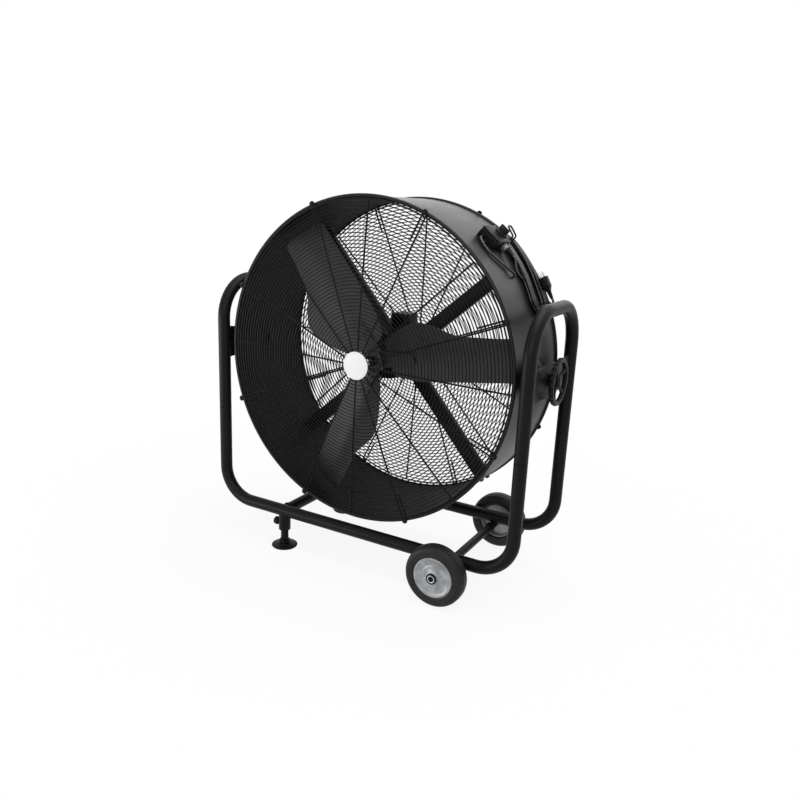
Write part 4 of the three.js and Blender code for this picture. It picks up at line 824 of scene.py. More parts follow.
def build_drum():
    """Sheet rolled into a bead at each rim, with a boss and its foot at each pivot, the rivets of the
    lap seam at the bottom and two bolts at each of the motor's arms."""
    d, m = fan().drum, fan().motor
    half = d.depth / 2 - d.bead
    a = np.linspace(0, TAU - math.asin(d.wall / d.bead), 18)
    bead = np.stack((d.radius + d.bead * np.sin(a), -half + d.bead * np.cos(a)), -1)
    shell = Surface(lifted)
    shell.add(lathe(np.concatenate((bead, (bead * [1, -1])[::-1])), "Y", 192), along=True)
    r = d.boss_radius
    boss = rounded(cylinder(r, d.radius - d.wall - BOSS_INSIDE, d.boss_face), 0.002, 3)
    foot = rounded([(r, d.radius - 0.003), (r + 0.014, d.radius - 0.003), (r + 0.012, d.radius + 0.001),
                    (r, d.radius + 0.006), (r - 0.002, d.radius + 0.008)], 0.003, 3)
    for sign, _ in SIDES:
        shell.add(lathe(boss * [1, sign], "X", 48))
        shell.add(lathe(foot * [1, sign], "X", 48), caps=False)
    piece("drum_skin", shell, "drum", "drum", ["drum_shell"])

    seam = Surface(seated(-QUARTER))
    for y in np.linspace(-half + 0.02, half - 0.02, 12):
        seam.add(dome_head(0.0032, 0.0016, "Z", (0, y, d.radius)))
    piece("seam_rivets", seam, "drum", "drum")

    bolts = Surface()
    for k in range(4):
        at = seat(m.arm_angle + k * QUARTER)
        for x in (-0.012, 0.012):
            spot = (x, m.mount, d.radius)
            bolts.add(moved(lathe(cylinder(0.009, 0, 0.0012), "Z", 24, spot), at))
            bolts.add(moved(hexagon(0.013, 0.0012, 0.0062, "Z", spot), at))
    piece("arm_bolts", bolts, "drum", "frame", sharp=25)


def grille_depth(r):
    """Dome of a grille: it stands out most in the middle, and falls with the square of the radius to
    nothing at the outermost ring."""
    g = fan().grille
    return g.dome * (1 - (r / g.outer) ** 2)


def build_grille(sign, name):
    """Ring wires on a shallow dome with radial wires behind them. Every second radial ends in a
    hairpin that is bolted to the drum's rim."""
    g, d = fan().grille, fan().drum
    edge = d.depth / 2 + GAP + 0.002
    ring, spoke = g.ring_wire / 2, g.radial_wire / 2

    def radial(start, stop, count, z=0.0):
        reach = np.linspace(start, stop, count)
        return points(reach, edge + grille_depth(reach) - spoke * 0.8, z)

    wires, screws = Surface(lifted), Surface(lifted)
    for k, r in enumerate(np.linspace(g.inner, g.outer, g.rings)):
        wire = ring * (1.7 if k in (0, g.rings - 1) else 1.0)
        y = edge + grille_depth(r) + ring * 0.6
        wires.add(ring_wire(r, wire, (0, sign * y, 0), 128 if r > 0.15 else 72, 6), along=True)
    bend = np.linspace(-QUARTER, QUARTER, 12)
    loop = points(g.eyelet_place + g.hairpin_gap / 2 * np.cos(bend), edge - 0.0005,
                  g.hairpin_gap / 2 * (1 + np.sin(bend)))
    back = radial(g.eyelet_place, g.eyelet_place - g.hairpin, 8, g.hairpin_gap)
    hairpin = np.concatenate((radial(g.inner, g.eyelet_place, 24)[:-1], loop, back[1:]))
    plain = radial(g.inner, g.outer + 0.001, 24)
    eyelet = (g.eyelet_place, edge + 0.0012, g.hairpin_gap / 2)
    washer = lathe(cylinder(0.0085, 0, 0.0012), "Y", 20, eyelet)
    head = dome_head(0.0052, 0.0034, "Y", np.add(eyelet, (0, 0.0012, 0)))
    for k in range(g.radials):
        a = g.turn + TAU * k / g.radials
        path = hairpin if k % 2 else plain
        wires.add(turned(sweep(path * [1, sign, 1], spoke, Y_AXIS, 8), a))
        for part in (washer, head)[:2 * (k % 2)]:
            screws.add(turned(part * [1, sign, 1], a))
    piece(f"{name}_grille_wires", wires, "drum", "wire", [f"{name}_grille"], 60)
    piece(f"{name}_grille_screws", screws, "drum", "wire", sharp=30)


def build_badge():
    """Plain disc with a fine groove inside its edge."""
    g, d = fan().grille, fan().drum
    back = -d.depth / 2 - g.dome - 0.0049
    face, r = back - 0.003, g.badge
    profile = rounded([(0, back), (r, back), (r, face), (r - 0.003, face), (r - 0.0036, face + 0.0006),
                       (r - 0.0042, face), (0, face - 0.0004)], 0.0006, 3)
    disc = Surface(lifted).add(lathe(profile, "Y", 96))
    piece("badge_plain_disc", disc, "drum", "badge", ["badge_disc"])


# ---------------------------------------------------------------- motor and rotor

def build_motor():
    """Finned housing with a front boss, rear bell with its bolts, strap, and four channels from the
    strap to flanges on the drum's wall."""
    m, d = fan().motor, fan().drum
    r, bore, front = m.radius, 0.0105, m.front
    body = Surface(lifted)
    shell = rounded([(bore, front + 0.004), (bore, front), (r - 0.018, front), (r, front + 0.014),
                     (r, m.rear), (r - 0.004, m.rear), (r - 0.004, front + 0.016),
                     (r - 0.020, front + 0.004)], 0.005, 5)
    boss = rounded([(bore, front), (0.030, front), (0.028, front - 0.005), (bore, front - 0.005)], 0.002, 3)
    body.add(lathe(shell, "Y", 96), along=True)
    body.add(lathe(boss, "Y", 48), along=True)
    fin = rounded_box((0.004, 0.060, 0.0022), (r + 0.0002, 0.016, 0), 0.0010, 3)
    for a in circle(32):
        body.add(turned(fin, a))
    piece("motor_shell", body, "drum", "frame", ["motor_housing"])

    rear = m.rear + GAP
    end = rear + m.cap
    cap = Surface(lifted)
    bell = rounded([(0, end), (0.030, end), (0.032, end - 0.003), (r - 0.018, end - 0.003),
                    (r, rear + 0.004), (r, rear), (r - 0.004, rear), (0, rear + 0.010)], 0.004, 5)
    cap.add(lathe(bell, "Y", 96))
    bolt = hexagon(0.010, end - 0.006, end - 0.001, "Y", (r - 0.014, 0, 0))
    for a in circle(4):
        cap.add(turned(bolt, a + QUARTER / 2))
    piece("motor_rear_bell", cap, "drum", "frame", ["motor_end_cap"])

    inner, outer = r + GAP, r + GAP + 0.006
    low, high = m.mount - 0.020, m.mount + 0.020
    strap = rounded([(inner, m.mount), (inner, low), (outer, low), (outer, high), (inner, high),
                     (inner, m.mount)], 0.001, 2)
    band = Surface(lifted).add(lathe(strap, "Y", 96), along=True)
    piece("motor_strap", band, "drum", "frame", ["motor_band"])

    half, t = m.arm_width / 2, 0.003
    front, back = m.mount - m.arm_depth / 2, m.mount + m.arm_depth / 2
    start = outer + GAP
    stop = math.sqrt((d.radius - d.wall - 0.0009) ** 2 - half ** 2)
    channel = rounded([(0, front), (half, front), (half, back), (half - t, back), (half - t, front + t),
                       (t - half, front + t), (t - half, back), (-half, back), (-half, front),
                       (0, front)], 0.0025, 3)
    reach = np.array([start, start + 0.03, 0.27, stop - 0.03, stop])[:, None]
    bar = points(reach, channel[:, 1], channel[:, 0])
    flange = rounded_box((0.003, m.arm_depth + 0.026, m.arm_width + 0.004),
                         (stop - 0.0005, m.mount, 0), 0.0012, 3)
    for k in range(4):
        arm = Surface(lifted)
        for part in (bar, flange):
            arm.add(turned(part, m.arm_angle + k * QUARTER))
        piece(f"motor_arm_channel_{k + 1}", arm, "drum", "frame", [f"motor_arm_{k + 1}"], 40)


def build_capacitor():
    """Round-cornered box on a foot, with a lid that narrows at its top and has four screws."""
    m = fan().motor
    low, top = m.radius + 0.001, m.box_top
    depth, height = m.box_rear - m.box_front, top - low
    x, y, z = m.box_place, (m.box_front + m.box_rear) / 2, (top + low) / 2
    box = Surface(lifted)
    box.add(rounded_box((m.box_width, depth, height), (x, y, z), 0.011, 7))
    lid = rounded_box((m.box_width + 0.0004, 0.0032, height), (x, m.box_front + 0.0016, z), 0.0012, 3)
    lid[..., 0] = x + (lid[..., 0] - x) * np.where(lid[..., 2] > top - 0.003, 0.80, 0.97)
    box.add(lid)
    box.add(rounded_box((m.box_width, depth, 0.030), (x, y, low - 0.008), 0.003, 4))
    for side in (-0.022, 0.022):
        for z in (low + 0.008, top - 0.014):
            box.add(dome_head(0.0034, 0.0012, "Y", (x + side, m.box_front + 0.0008, z), -1))
    piece("capacitor_housing", box, "drum", "frame", ["capacitor_box"])
    repaint("winding", "motor_stator")
    repaint("zinc", "front_bearing", "rear_bearing")


def blade_depth(offset):
    """Place along the axis of a blade's front face: pitched across its width, and folded with a
    soft crease along its middle."""
    r = fan().rotor
    crease = r.fold * (1 - np.sqrt((offset / r.fold_width) ** 2 + 0.035))
    return -r.place - offset * math.tan(r.pitch) + crease


def blade_grid(rows=60, columns=44):
    """Blade as a flattened tube: round the section the offset goes out along the front and home
    along the back, half a sheet from the blade's middle surface, with round edges."""
    r = fan().rotor
    t = np.linspace(0, 1, rows)[:, None]
    across, through = squared(circle(2 * columns)[None, :], 0.8, 0.16)
    low = r.low_root + (r.low_full - r.low_root) * np.sin(QUARTER * np.clip(t / 0.25, 0, 1))
    swell = np.sin(QUARTER * np.clip(t / r.bulge, 0, 1))
    shrink = 0.85 * ease((t - r.bulge) / 0.33) + 0.15 * ease((t - 0.6) / 0.4)
    high = r.high_root + (r.high_bulge - r.high_root) * swell - (r.high_bulge - r.high_tip) * shrink
    offset = across * np.where(across < 0, low, high)
    reach = np.sqrt(r.tip ** 2 - offset ** 2) - r.corner * np.abs(across) ** 8
    root = r.root + r.corner * np.abs(across) ** 6
    depth = blade_depth(offset) + r.sheet / 2 * (1 + through)
    return points(root + (reach - root) * t, depth, offset)


def arm_grid():
    """Spider arm: a flat bar on the blade's front, which narrows outwards to a round end."""
    r = fan().rotor
    start, end = 0.017, 0.012
    t = np.linspace(0, 1, 40)[:, None]
    across, through = squared(circle(32)[None, :], 0.8, 0.2)
    distance = start + (r.arm - start) * t
    blunt = np.sqrt(np.clip(1 - ((distance - r.arm + end) / end).clip(0, 1) ** 2, 0.05, 1))
    offset = across * 0.026 * (1 - 0.3 * t) * blunt
    return points(distance, blade_depth(offset) - ARM_FACE + 0.0025 * (1 + through), offset)


def build_rotor():
    """Blades riveted behind the spider's arms, and the shaft with the motor's core and its nut."""
    r = fan().rotor
    front, bore, shank = -r.hub_front, 0.0098, 0.0095
    spider, rivets, shaft = Surface(lifted), Surface(lifted), Surface(lifted)
    hub = rounded([(bore, front), (bore, front - 0.002), (0.026, front - 0.002), (0.034, front + 0.004),
                   (0.034, front + 0.036), (bore, front + 0.036)], 0.002, 4)
    spider.add(lathe(hub, "Y", 64), along=True)
    for k in range(r.blades):
        a = r.first + TAU * k / r.blades
        blade = Surface(lifted).add(turned(blade_grid(), a))
        piece(f"blade_{k + 1}_paddle", blade, "fan", "blade", [f"fan_blade_{k + 1}"], 50)
        spider.add(turned(arm_grid(), a))
        for reach in (0.086, 0.118):
            for side in (-0.0095, 0.0095):
                spot = (reach, float(blade_depth(side)) - ARM_FACE + 0.0004, side)
                rivets.add(turned(dome_head(0.0052, 0.0026, "Y", spot, -1), a))
    piece("rotor_spider", spider, "fan", "blade", ["fan_spider"])
    piece("blade_rivets", rivets, "fan", "blade", sharp=40)

    tip = front - 0.022
    bar = rounded([(0, tip), (shank - 0.001, tip), (shank, tip + 0.001), (shank, 0.008), (shank, 0.130),
                   (0, 0.130)], 0.0006, 2)
    shaft.add(lathe(bar, "Y", 32))
    shaft.add(lathe(rounded(cylinder(0.039, 0.008, 0.084, shank), 0.001, 2), "Y", 64), along=True)
    piece("rotor_shaft", shaft, "fan", "zinc", ["fan_shaft"], 30)
    nut = Surface(lifted).add(hexagon(0.030, front - 0.014, front - 0.0025, "Y"))
    piece("hub_nut", nut, "fan", "frame", sharp=30)


# ---------------------------------------------------------------- frame

def weld_bead(centre, radius, seed, wire=0.0028):
    """Weld round a bar along Y: a ring whose wire swells and shrinks in small scallops."""
    a, b = circle(96)[:, None], circle(8)[None, :]
    swell = wire * (1 + 0.12 * np.sin(a * 31 + seed) + 0.08 * np.sin(a * 17 + 2 * seed))
    return around_axis("Y", swell * np.sin(b), radius + swell * np.cos(b), a) + np.array(centre)


def leg_tube(corners, bend, outward, bevel):
    """Bent tube of the frame, from leg to leg, with its two ends drawn in over the bevel's height."""
    f = fan().frame
    path = bent(corners, bend)
    path[[1, -2], 2] = path[0, 2] + bevel
    radius = np.full(len(path), f.tube)
    radius[[0, -1]] -= 0.0012
    return Surface().add(sweep(path, radius, outward, 40))


def build_tubes():
    """Two base tubes along X with the snap buttons of their splices, and two arches along Y."""
    f = fan().frame
    x, low = f.leg_x, f.splice + GAP
    for sign, name in ENDS:
        y = sign * f.leg_y
        base = leg_tube([(-x, y, f.splice), (-x, y, f.rail), (x, y, f.rail), (x, y, f.splice)],
                        f.base_bend, Y_AXIS, -0.0014)
        for leg in (-x, x):
            button = (leg, y + sign * (f.tube - 0.0004), f.splice - 0.020)
            base.add(dome_head(0.0052, 0.0026, "Y", button, sign))
        piece(f"{name}_base_bend", base, "frame", "frame", [f"{name}_base_tube"], 40)
    y = f.leg_y
    for sign, name in SIDES:
        leg = sign * x
        arch = leg_tube([(leg, -y, low), (leg, -y, f.arch_top), (leg, y, f.arch_top), (leg, y, low)],
                        f.arch_bend, X_AXIS, 0.0014)
        piece(f"{name}_arch_bend", arch, "frame", "frame", [f"{name}_arch_tube"], 40)


def build_bars():
    """The bar between the feet, the stepped axle, and the welds round both and along the webs."""
    f, w, feet, axis = fan().frame, fan().wheel, fan().foot, fan().drum.axis_height
    path = points(feet.place, np.linspace(-f.leg_y, f.leg_y, 14), f.rail)
    bar = Surface().add(sweep(path, f.crossbar, X_AXIS, 36))
    piece("foot_crossbar_tube", bar, "frame", "frame", ["foot_crossbar"])

    shoulder, end = w.place_y - w.hub_length / 2 - GAP, w.place_y + w.hub_length / 2 + 0.0013
    half = [(w.axle, 0), (w.axle, shoulder), (w.spindle, shoulder), (w.spindle, end), (0, end)]
    axle = Surface().add(lathe(mirrored(half) + half[1:], "Y", 36, (w.place_x, 0, w.radius)))
    piece("axle_bar", axle, "frame", "frame", ["wheel_axle"], 30)

    welds = Surface()
    reach = f.plate_height / 2 - 0.004
    for sign, _ in ENDS:
        y = sign * (f.leg_y - f.tube + 0.0005)
        welds.add(weld_bead((feet.place, y, f.rail), f.crossbar + 0.0005, 1.0 + sign), along=True)
        welds.add(weld_bead((w.place_x, y - sign * 0.001, w.radius), w.axle + 0.0006, 2.0 + sign, 0.0024),
                  along=True)
        for x in (-f.leg_x, f.leg_x):
            for z in np.linspace(axis - reach, axis + reach, 30):
                for face in (-0.0032, 0.0032):
                    welds.add(rounded_box((0.0042, 0.0042, 0.0040), (x + face, y, z), 0.0019, 3))
    piece("weld_beads", welds, "frame", "frame", sharp=60)


def build_axle_ends():
    """Black collar on each end of the axle, with a bright ring inside it."""
    w = fan().wheel
    start = w.place_y + w.hub_length / 2 + GAP
    collar = rounded([(0.0116, start - 0.0018), (0.0157, start - 0.0018), (0.0157, start + 0.0040),
                      (0.0116, start + 0.0052), (0.0116, start - 0.0018)], 0.0008, 3)
    mouth = rounded([(0.0084, start), (0.0114, start), (0.0114, start + 0.0046), (0.0084, start + 0.0042),
                     (0.0084, start)], 0.0006, 2)
    nuts, rings = Surface(), Surface()
    for sign, _ in ENDS:
        for surface, profile in ((nuts, collar), (rings, mouth)):
            surface.add(lathe(profile * [1, sign], "Y", 40, (w.place_x, 0, w.radius)), along=True)
    piece("axle_nuts", nuts, "frame", "plastic", ["front_axle_nut", "rear_axle_nut"], 25)
    piece("axle_end_rings", rings, "frame", "zinc", sharp=25)


def build_webs():
    """Pivot plates: flat bars between the legs, whose edges draw in twice by a cosine wave."""
    f = fan().frame
    reach, t = f.leg_y - f.tube - GAP, f.plate_sheet / 2
    y = np.linspace(-reach, reach, 41)[:, None]
    height = f.plate_height / 2 - 0.004 * (1 - np.cos(TAU * y / reach)) * (np.abs(y) < reach)
    thick, side = np.array([(-t, 1), (t, 1), (t, -1), (-t, -1)]).T
    for sign, name in SIDES:
        plate = Surface(lifted).add(points(sign * f.leg_x + thick, y, side * height))
        piece(f"{name}_pivot_web", plate, "frame", "frame", [f"{name}_pivot_plate"], 30)


# ---------------------------------------------------------------- wheels and feet

def build_wheels():
    """Tyre with two grooves round its tread, on a pressed rim with a flat face, a hub and six dots."""
    w = fan().wheel
    r, rim, hub, half, end = w.radius, w.rim, w.hub, w.width / 2, w.hub_length / 2
    edge = half - 0.007
    outer, inner, bore = rim - GAP, rim - GAP - 0.003, 0.0107
    tread = [(rim, -edge), (rim + 0.002, -half + 0.004), (rim + 0.010, -half),
             (rim + 0.014, -half + 0.0015), (r - 0.018, -half), (r - 0.008, -half + 0.002),
             (r - 0.002, -half + 0.008), (r - 0.0008, -half + 0.013), (r - 0.0006, -0.0112),
             (r - 0.0032, -0.0104), (r - 0.0032, -0.0076), (r - 0.0006, -0.0068)]
    tyre = rounded(tread + [(r, 0)] + mirrored(tread), 0.003, 3)
    disc = rounded([
        (bore, -end), (hub - 0.001, -end), (hub, -end + 0.001), (hub, edge - 0.013),
        (inner - 0.004, edge - 0.013), (inner, edge - 0.016), (inner, -edge + 0.002),
        (inner + 0.001, -edge), (outer, -edge), (outer, edge), (rim + 0.0036, edge + 0.003),
        (rim + 0.0036, edge + 0.0056), (inner + 0.001, edge + 0.0052), (inner - 0.003, edge + 0.0026),
        (inner - 0.010, edge + 0.0012), (inner - 0.016, edge + 0.0008), (inner - 0.020, edge + 0.0024),
        (hub + 0.010, edge + 0.0024), (hub + 0.005, edge + 0.0034), (hub + 0.0008, edge + 0.0050),
        (hub, end - 0.003), (hub - 0.001, end - 0.002), (0.0125, end - 0.002), (bore, end - 0.001),
        (bore, -end)], 0.0016, 3)
    for sign, name in ENDS:
        at = np.array([w.place_x, sign * w.place_y, r])
        tread = Surface().add(lathe(tyre * [1, sign], "Y", 96, at), along=True)
        piece(f"{name}_tyre_tread", tread, f"{name}_wheel", "rubber", [f"{name}_tyre"], 30)
        face = Surface().add(lathe(disc * [1, sign], "Y", 96, at), along=True)
        dot = dome_head(0.0030, 0.0008, "Y", (0.040, sign * (edge + 0.0008), 0), sign)
        for a in circle(6):
            face.add(turned(dot, a + 0.3) + at)
        piece(f"{name}_rim_disc", face, f"{name}_wheel", "rim", [f"{name}_rim"])
        repaint("nylon", f"{name}_bush")


def build_feet():
    """Moulded pad on a stem whose thread is a saw-tooth wave, plain above it, in a socket through the
    crossbar with a fluted lock knob in a collar."""
    f, w = fan().foot, fan().frame
    plain, bore, top, neck = f.stem - 0.001, f.stem + GAP, w.rail - 0.004, -f.socket - 0.001
    pad = rounded([(0, 0), (f.pad - 0.002, 0), (f.pad, 0.003), (f.pad - 0.001, 0.0055),
                   (f.stem + 0.014, 0.0085), (f.stem + 0.008, f.pad_height), (0, f.pad_height)], 0.003, 4)
    z = np.arange(0.040, 0.0865, 0.0005)
    thread = f.stem - 0.0007 + 0.0007 * np.abs(((z / 0.0022) % 1) * 2 - 1)
    stem = [(0, 0.0123), (plain, 0.0123), (f.stem, 0.0135), (f.stem, 0.036), (f.stem - 0.0007, 0.038),
            *zip(thread, z), (plain, 0.0875), (plain, 0.112), (0, 0.112)]
    sleeve = rounded([(bore, 0.100), (bore, f.socket_bottom), (f.socket, f.socket_bottom),
                      (f.socket, top), (bore, top), (bore, 0.100)], 0.0012, 3)
    collar = rounded(cylinder(0.0105, 0.0, 0.0030, 0.0052), 0.0008, 3) * [1, -1] - [0, f.socket - 0.001]
    grip = rounded([(0, neck - 0.018), (0.011, neck - 0.018), (0.013, neck - 0.015),
                    (0.013, neck - 0.005), (0.0065, neck), (0.0039, neck), (0.0039, -bore),
                    (0, -bore)], 0.0012, 3)
    a = circle(72)[None, :]
    flute = np.where(grip[:, :1] > 0.012, 1 - 0.06 * (1 + np.cos(8 * a)) / 2, 1.0)
    for sign, name in ENDS:
        at = np.array([f.place, sign * w.leg_y, 0])
        lock = at + [0, 0, f.knob_height]
        rubber = Surface().add(lathe(pad, "Z", 72, at))
        piece(f"{name}_pad_rubber", rubber, f"{name}_foot", "plastic", [f"{name}_foot_pad"])
        screw = Surface().add(lathe(stem, "Z", 40, at))
        screw.add(hexagon(0.032, 0.0125, 0.0225, "Z", at, 0.0012))
        piece(f"{name}_stem_screw", screw, f"{name}_foot", "frame", [f"{name}_foot_stem"], 40)
        socket = Surface().add(lathe(sleeve, "Z", 48, at), along=True)
        socket.add(lathe(collar, "X", 32, lock), along=True)
        piece(f"{name}_socket_sleeve", socket, "frame", "frame", [f"{name}_foot_socket"])
        knob = Surface().add(around_axis("X", grip[:, 1:], grip[:, :1] * flute, a) + lock)
        piece(f"{name}_knob_grip", knob, f"{name}_knob", "plastic", [f"{name}_foot_knob"])


# ---------------------------------------------------------------- tilt pivots

def build_pivots():
    """A bolt with its head inside each boss, a nut and washer on the left one, and a friction pad
    between each boss and its plate."""
    d, f, h = fan().drum, fan().frame, fan().handwheel
    outer, plate = f.leg_x + f.plate_sheet / 2 + GAP, f.leg_x - f.plate_sheet / 2
    head, end = d.radius - d.wall - BOSS_INSIDE - GAP, outer + h.hub_length
    shank = rounded(cylinder(0.008, head - 0.001, end), 0.001, 2)
    pad = rounded(cylinder(0.034, d.boss_face + GAP, plate - GAP, 0.0083), 0.0012, 3)
    bolts, pads = Surface(lifted), Surface(lifted)
    for sign, _ in SIDES:
        bolts.add(lathe(shank * [1, sign], "X", 32))
        bolts.add(hexagon(0.027, head - 0.008, head, "X") * [sign, 1, 1])
        pads.add(lathe(pad * [1, sign], "X", 64), along=True)
    for part in (hexagon(0.027, outer + 0.002, outer + 0.016, "X", bevel=0.0012),
                 lathe(cylinder(0.017, outer, outer + 0.002), "X", 40)):
        bolts.add(part * [-1, 1, 1])
    piece("pivot_bolts", bolts, "drum", "frame", ["right_pivot_bolt", "left_pivot_bolt"], 25)
    piece("friction_pads", pads, "drum", "plastic", ["right_friction_disc", "left_friction_disc"])


def build_handwheel():
    """Rim of blunt section whose outside is lobed by a cosine wave, a hub, and spokes of blunt section
    that widen towards both ends and rise to the rim."""
    f, h = fan().frame, fan().handwheel
    outer = f.leg_x + f.plate_sheet / 2 + GAP
    end = outer + h.hub_length
    around, section = circle(h.lobes * 12)[:, None], circle(20)[None, :]
    wide, tall = squared(section, 0.7, 0.7)
    wave = h.lobe_depth * (1 - np.cos(h.lobes * around)) / 2
    r = h.radius + (wide - 1) * h.rim / 2 - wave * np.maximum(np.cos(section), 0)
    wheel = Surface(lifted)
    wheel.add(around_axis("X", end + (tall - 1) * h.rim / 2, r, around), along=True)
    hub = rounded([(0.0083, outer), (h.hub, outer), (h.hub - 0.001, outer + 0.024), (0.013, end),
                   (0.0083, end)], 0.002, 3)
    wheel.add(lathe(hub, "X", 48), along=True)
    t = np.linspace(0, 1, 10)
    first, last = h.hub - 0.004, h.radius - h.rim + 0.003
    path = points(outer + 0.017 + 0.006 * t, 0.0, first + (last - first) * t)
    side, up = directions(path, X_AXIS)
    width = (0.0060 + 0.0012 * np.cos(TAU * t))[:, None, None]
    wide, tall = squared(circle(16)[None, :, None], 0.6, 0.6)
    spoke = path[:, None] + width * (wide * side[:, None] + 0.6 * tall * up[:, None])
    for a in circle(h.spokes):
        wheel.add(turned(spoke, a + 0.2, "X"))
    piece("tilt_wheel_grip", wheel, "handwheel", "plastic", ["tilt_handwheel"], 40)


# ---------------------------------------------------------------- electrics and cord

def build_switch_box():
    """Box with two lugs, cover with a ring and tick marks, screws, and a fluted speed dial with a
    wing and a mark."""
    e, d = fan().electric, fan().drum
    place = seated(e.box_angle)
    middle, depth = (e.box_front + e.box_rear) / 2, e.box_rear - e.box_front
    low = d.radius + e.box_height + GAP
    face = low + e.cover
    box, cover, screws, knob = Surface(place), Surface(place), Surface(place), Surface(place)
    box.add(rounded_box((e.box_length, depth, e.box_height + 0.003),
                        (0, middle, d.radius + (e.box_height - 0.003) / 2), 0.004, 5))
    for y in (e.box_front - 0.005, e.box_rear + 0.005):
        box.add(rounded_box((0.018, 0.014, 0.004), (0, y, d.radius + 0.0022), 0.0015, 3))
    piece("switch_box", box, "drum", "plastic", ["control_box"])

    dial = np.array([0, e.knob_place, 0])
    cover.add(rounded_box((e.box_length, depth, e.cover), (0, middle, low + e.cover / 2), 0.0018, 4))
    cover.add(lathe(rounded(cylinder(0.024, face - 0.001, face + 0.0002, 0.022), 0.0004, 2), "Z", 48, dial),
              along=True)
    tick = rounded_box((0.0045, 0.0011, 0.0007), (0.0275, 0, face + 0.0001), 0.0003, 2)
    for k in range(4):
        cover.add(turned(tick, math.radians(-150 + 45 * k), "Z") + dial)
    piece("switch_box_cover", cover, "drum", "plastic", ["control_box_cover"])

    for x in (0.006 - e.box_length / 2, e.box_length / 2 - 0.006):
        for y in (e.box_front + 0.006, e.box_rear - 0.006):
            screws.add(dome_head(0.0030, 0.0015, "Z", (x, y, face)))
    for y in (e.box_front - 0.006, e.box_rear + 0.006):
        screws.add(dome_head(0.0036, 0.0018, "Z", (0, y, d.radius + 0.0042)))
    piece("switch_box_screws", screws, "drum", "frame", sharp=40)

    bottom = face + GAP
    top = bottom + e.knob_height
    profile = rounded([(0, bottom), (e.knob, bottom), (e.knob - 0.001, bottom + 0.004),
                       (e.knob - 0.005, bottom + 0.005), (e.knob - 0.0065, top - 0.0045),
                       (0, top - 0.004)], 0.0015, 3)
    a = circle(96)[None, :]
    flute = np.where(profile[:, :1] > e.knob - 0.0072, 1 - 0.018 * (1 + np.cos(24 * a)), 1.0)
    knob.add(around_axis("Z", profile[:, 1:], profile[:, :1] * flute, a) + dial)
    knob.add(rounded_box((2 * e.knob - 0.009, 0.0075, 0.016), dial + [0, 0, top - 0.0083], 0.0022, 4))
    knob.add(rounded_box((0.010, 0.0013, 0.0008), dial + [e.knob - 0.0105, 0, top - 0.0004], 0.0003, 2))
    piece("speed_dial", knob, "speed_switch", "plastic", ["speed_knob"])


def build_gland():
    """Hexagon and dome on the box's wall, and the ribbed strain relief of the cord."""
    e, d, c = fan().electric, fan().drum, fan().cord
    spot = (e.box_length / 2, e.gland_place, d.radius + e.gland_rise)
    gland, relief = Surface(seated(e.box_angle)), Surface(seated(e.box_angle))
    dome = rounded([(0, 0.0055), (0.0085, 0.0055), (0.0100, 0.0065), (0.0100, 0.0120), (0.0080, 0.0142),
                    (0, 0.0142)], 0.001, 3)
    gland.add(hexagon(0.0200, GAP, 0.0055, "X", spot, 0.001))
    gland.add(lathe(dome, "X", 40, spot))
    piece("cord_gland_nut", gland, "drum", "gland", ["cord_gland"], 30)
    ribs = ribbed(c.radius + 0.003, *RELIEF, 0.002, 0.0052, 0.10, RELIEF[1] + GAP)
    relief.add(lathe(ribs, "X", 32, spot))
    piece("cord_gland_relief", relief, "drum", "plastic", sharp=50)


def plug_spot():
    """Middle of the plug at its seat: it lies on both layers of the hank."""
    e, d, c = fan().electric, fan().drum, fan().cord
    rise = c.radius + SHEET_LIFT + c.layer + c.radius + GAP + GRIP_HEIGHT
    return np.array([0, e.plug_place, d.radius + rise])


def build_plug():
    """Blunt-cornered grip that narrows at the cord's end and is ribbed in its middle, a strain relief,
    and two flat pins with a round one."""
    e, c = fan().electric, fan().cord
    spot = plug_spot()
    plug, pins = Surface(seated(e.plug_angle)), Surface(seated(e.plug_angle))
    t = np.linspace(0, 1, 40)[:, None]
    size = 1 - 0.42 * ease((t - 0.62) / 0.38)
    size = size * (1 - 0.05 * (np.cos(TAU * t * 8) > 0.3) * (t > 0.30) * (t < 0.72))
    wide, tall = squared(circle(48)[None, :], 0.6, 0.6)
    plug.add(points(0.042 * t - 0.021, 0.016 * size * wide, GRIP_HEIGHT * size * tall) + spot)
    ribs = ribbed(c.radius + 0.004, 0.018, 0.045, 0.003, 0.0054, 0.12, 0.045)
    plug.add(lathe(ribs, "X", 32, spot))
    piece("plug_moulding", plug, "drum", "plastic", ["power_plug"], 50)

    for y in (-0.007, 0.007):
        pins.add(rounded_box((0.019, 0.0063, 0.0016), spot + [-0.0300, y, -0.004], 0.0006, 3))
    pin = rounded([(0, -0.039), (0.0016, -0.039), (0.0025, -0.037), (0.0025, -0.019), (0, -0.019)],
                  0.0008, 3)
    pins.add(lathe(pin, "X", 24, spot + [0, 0, 0.005]))
    piece("plug_pins", pins, "drum", "zinc", sharp=30)


def hank_end(place, radius, sign):
    """Corners of a hook: up from the sheet, out along the curve, across and back down, so that the
    innermost loop lies round its two legs."""
    c = fan().cord
    reach = radius - c.radius - c.hook_wire - 0.001
    run = sign * (c.half_run + math.sqrt(reach ** 2 - (c.hook_width / 2) ** 2))
    low, high = place - c.hook_width / 2, place + c.hook_width / 2
    far, rise = run + sign * c.hook_reach, c.hook_stand + 0.010
    return np.array([on_drum(*p) for p in (
        (run, low, 0.0001), (run, low, c.hook_stand), (far, low, rise), (far, high, rise),
        (run, high, c.hook_stand), (run, high, 0.0001))])


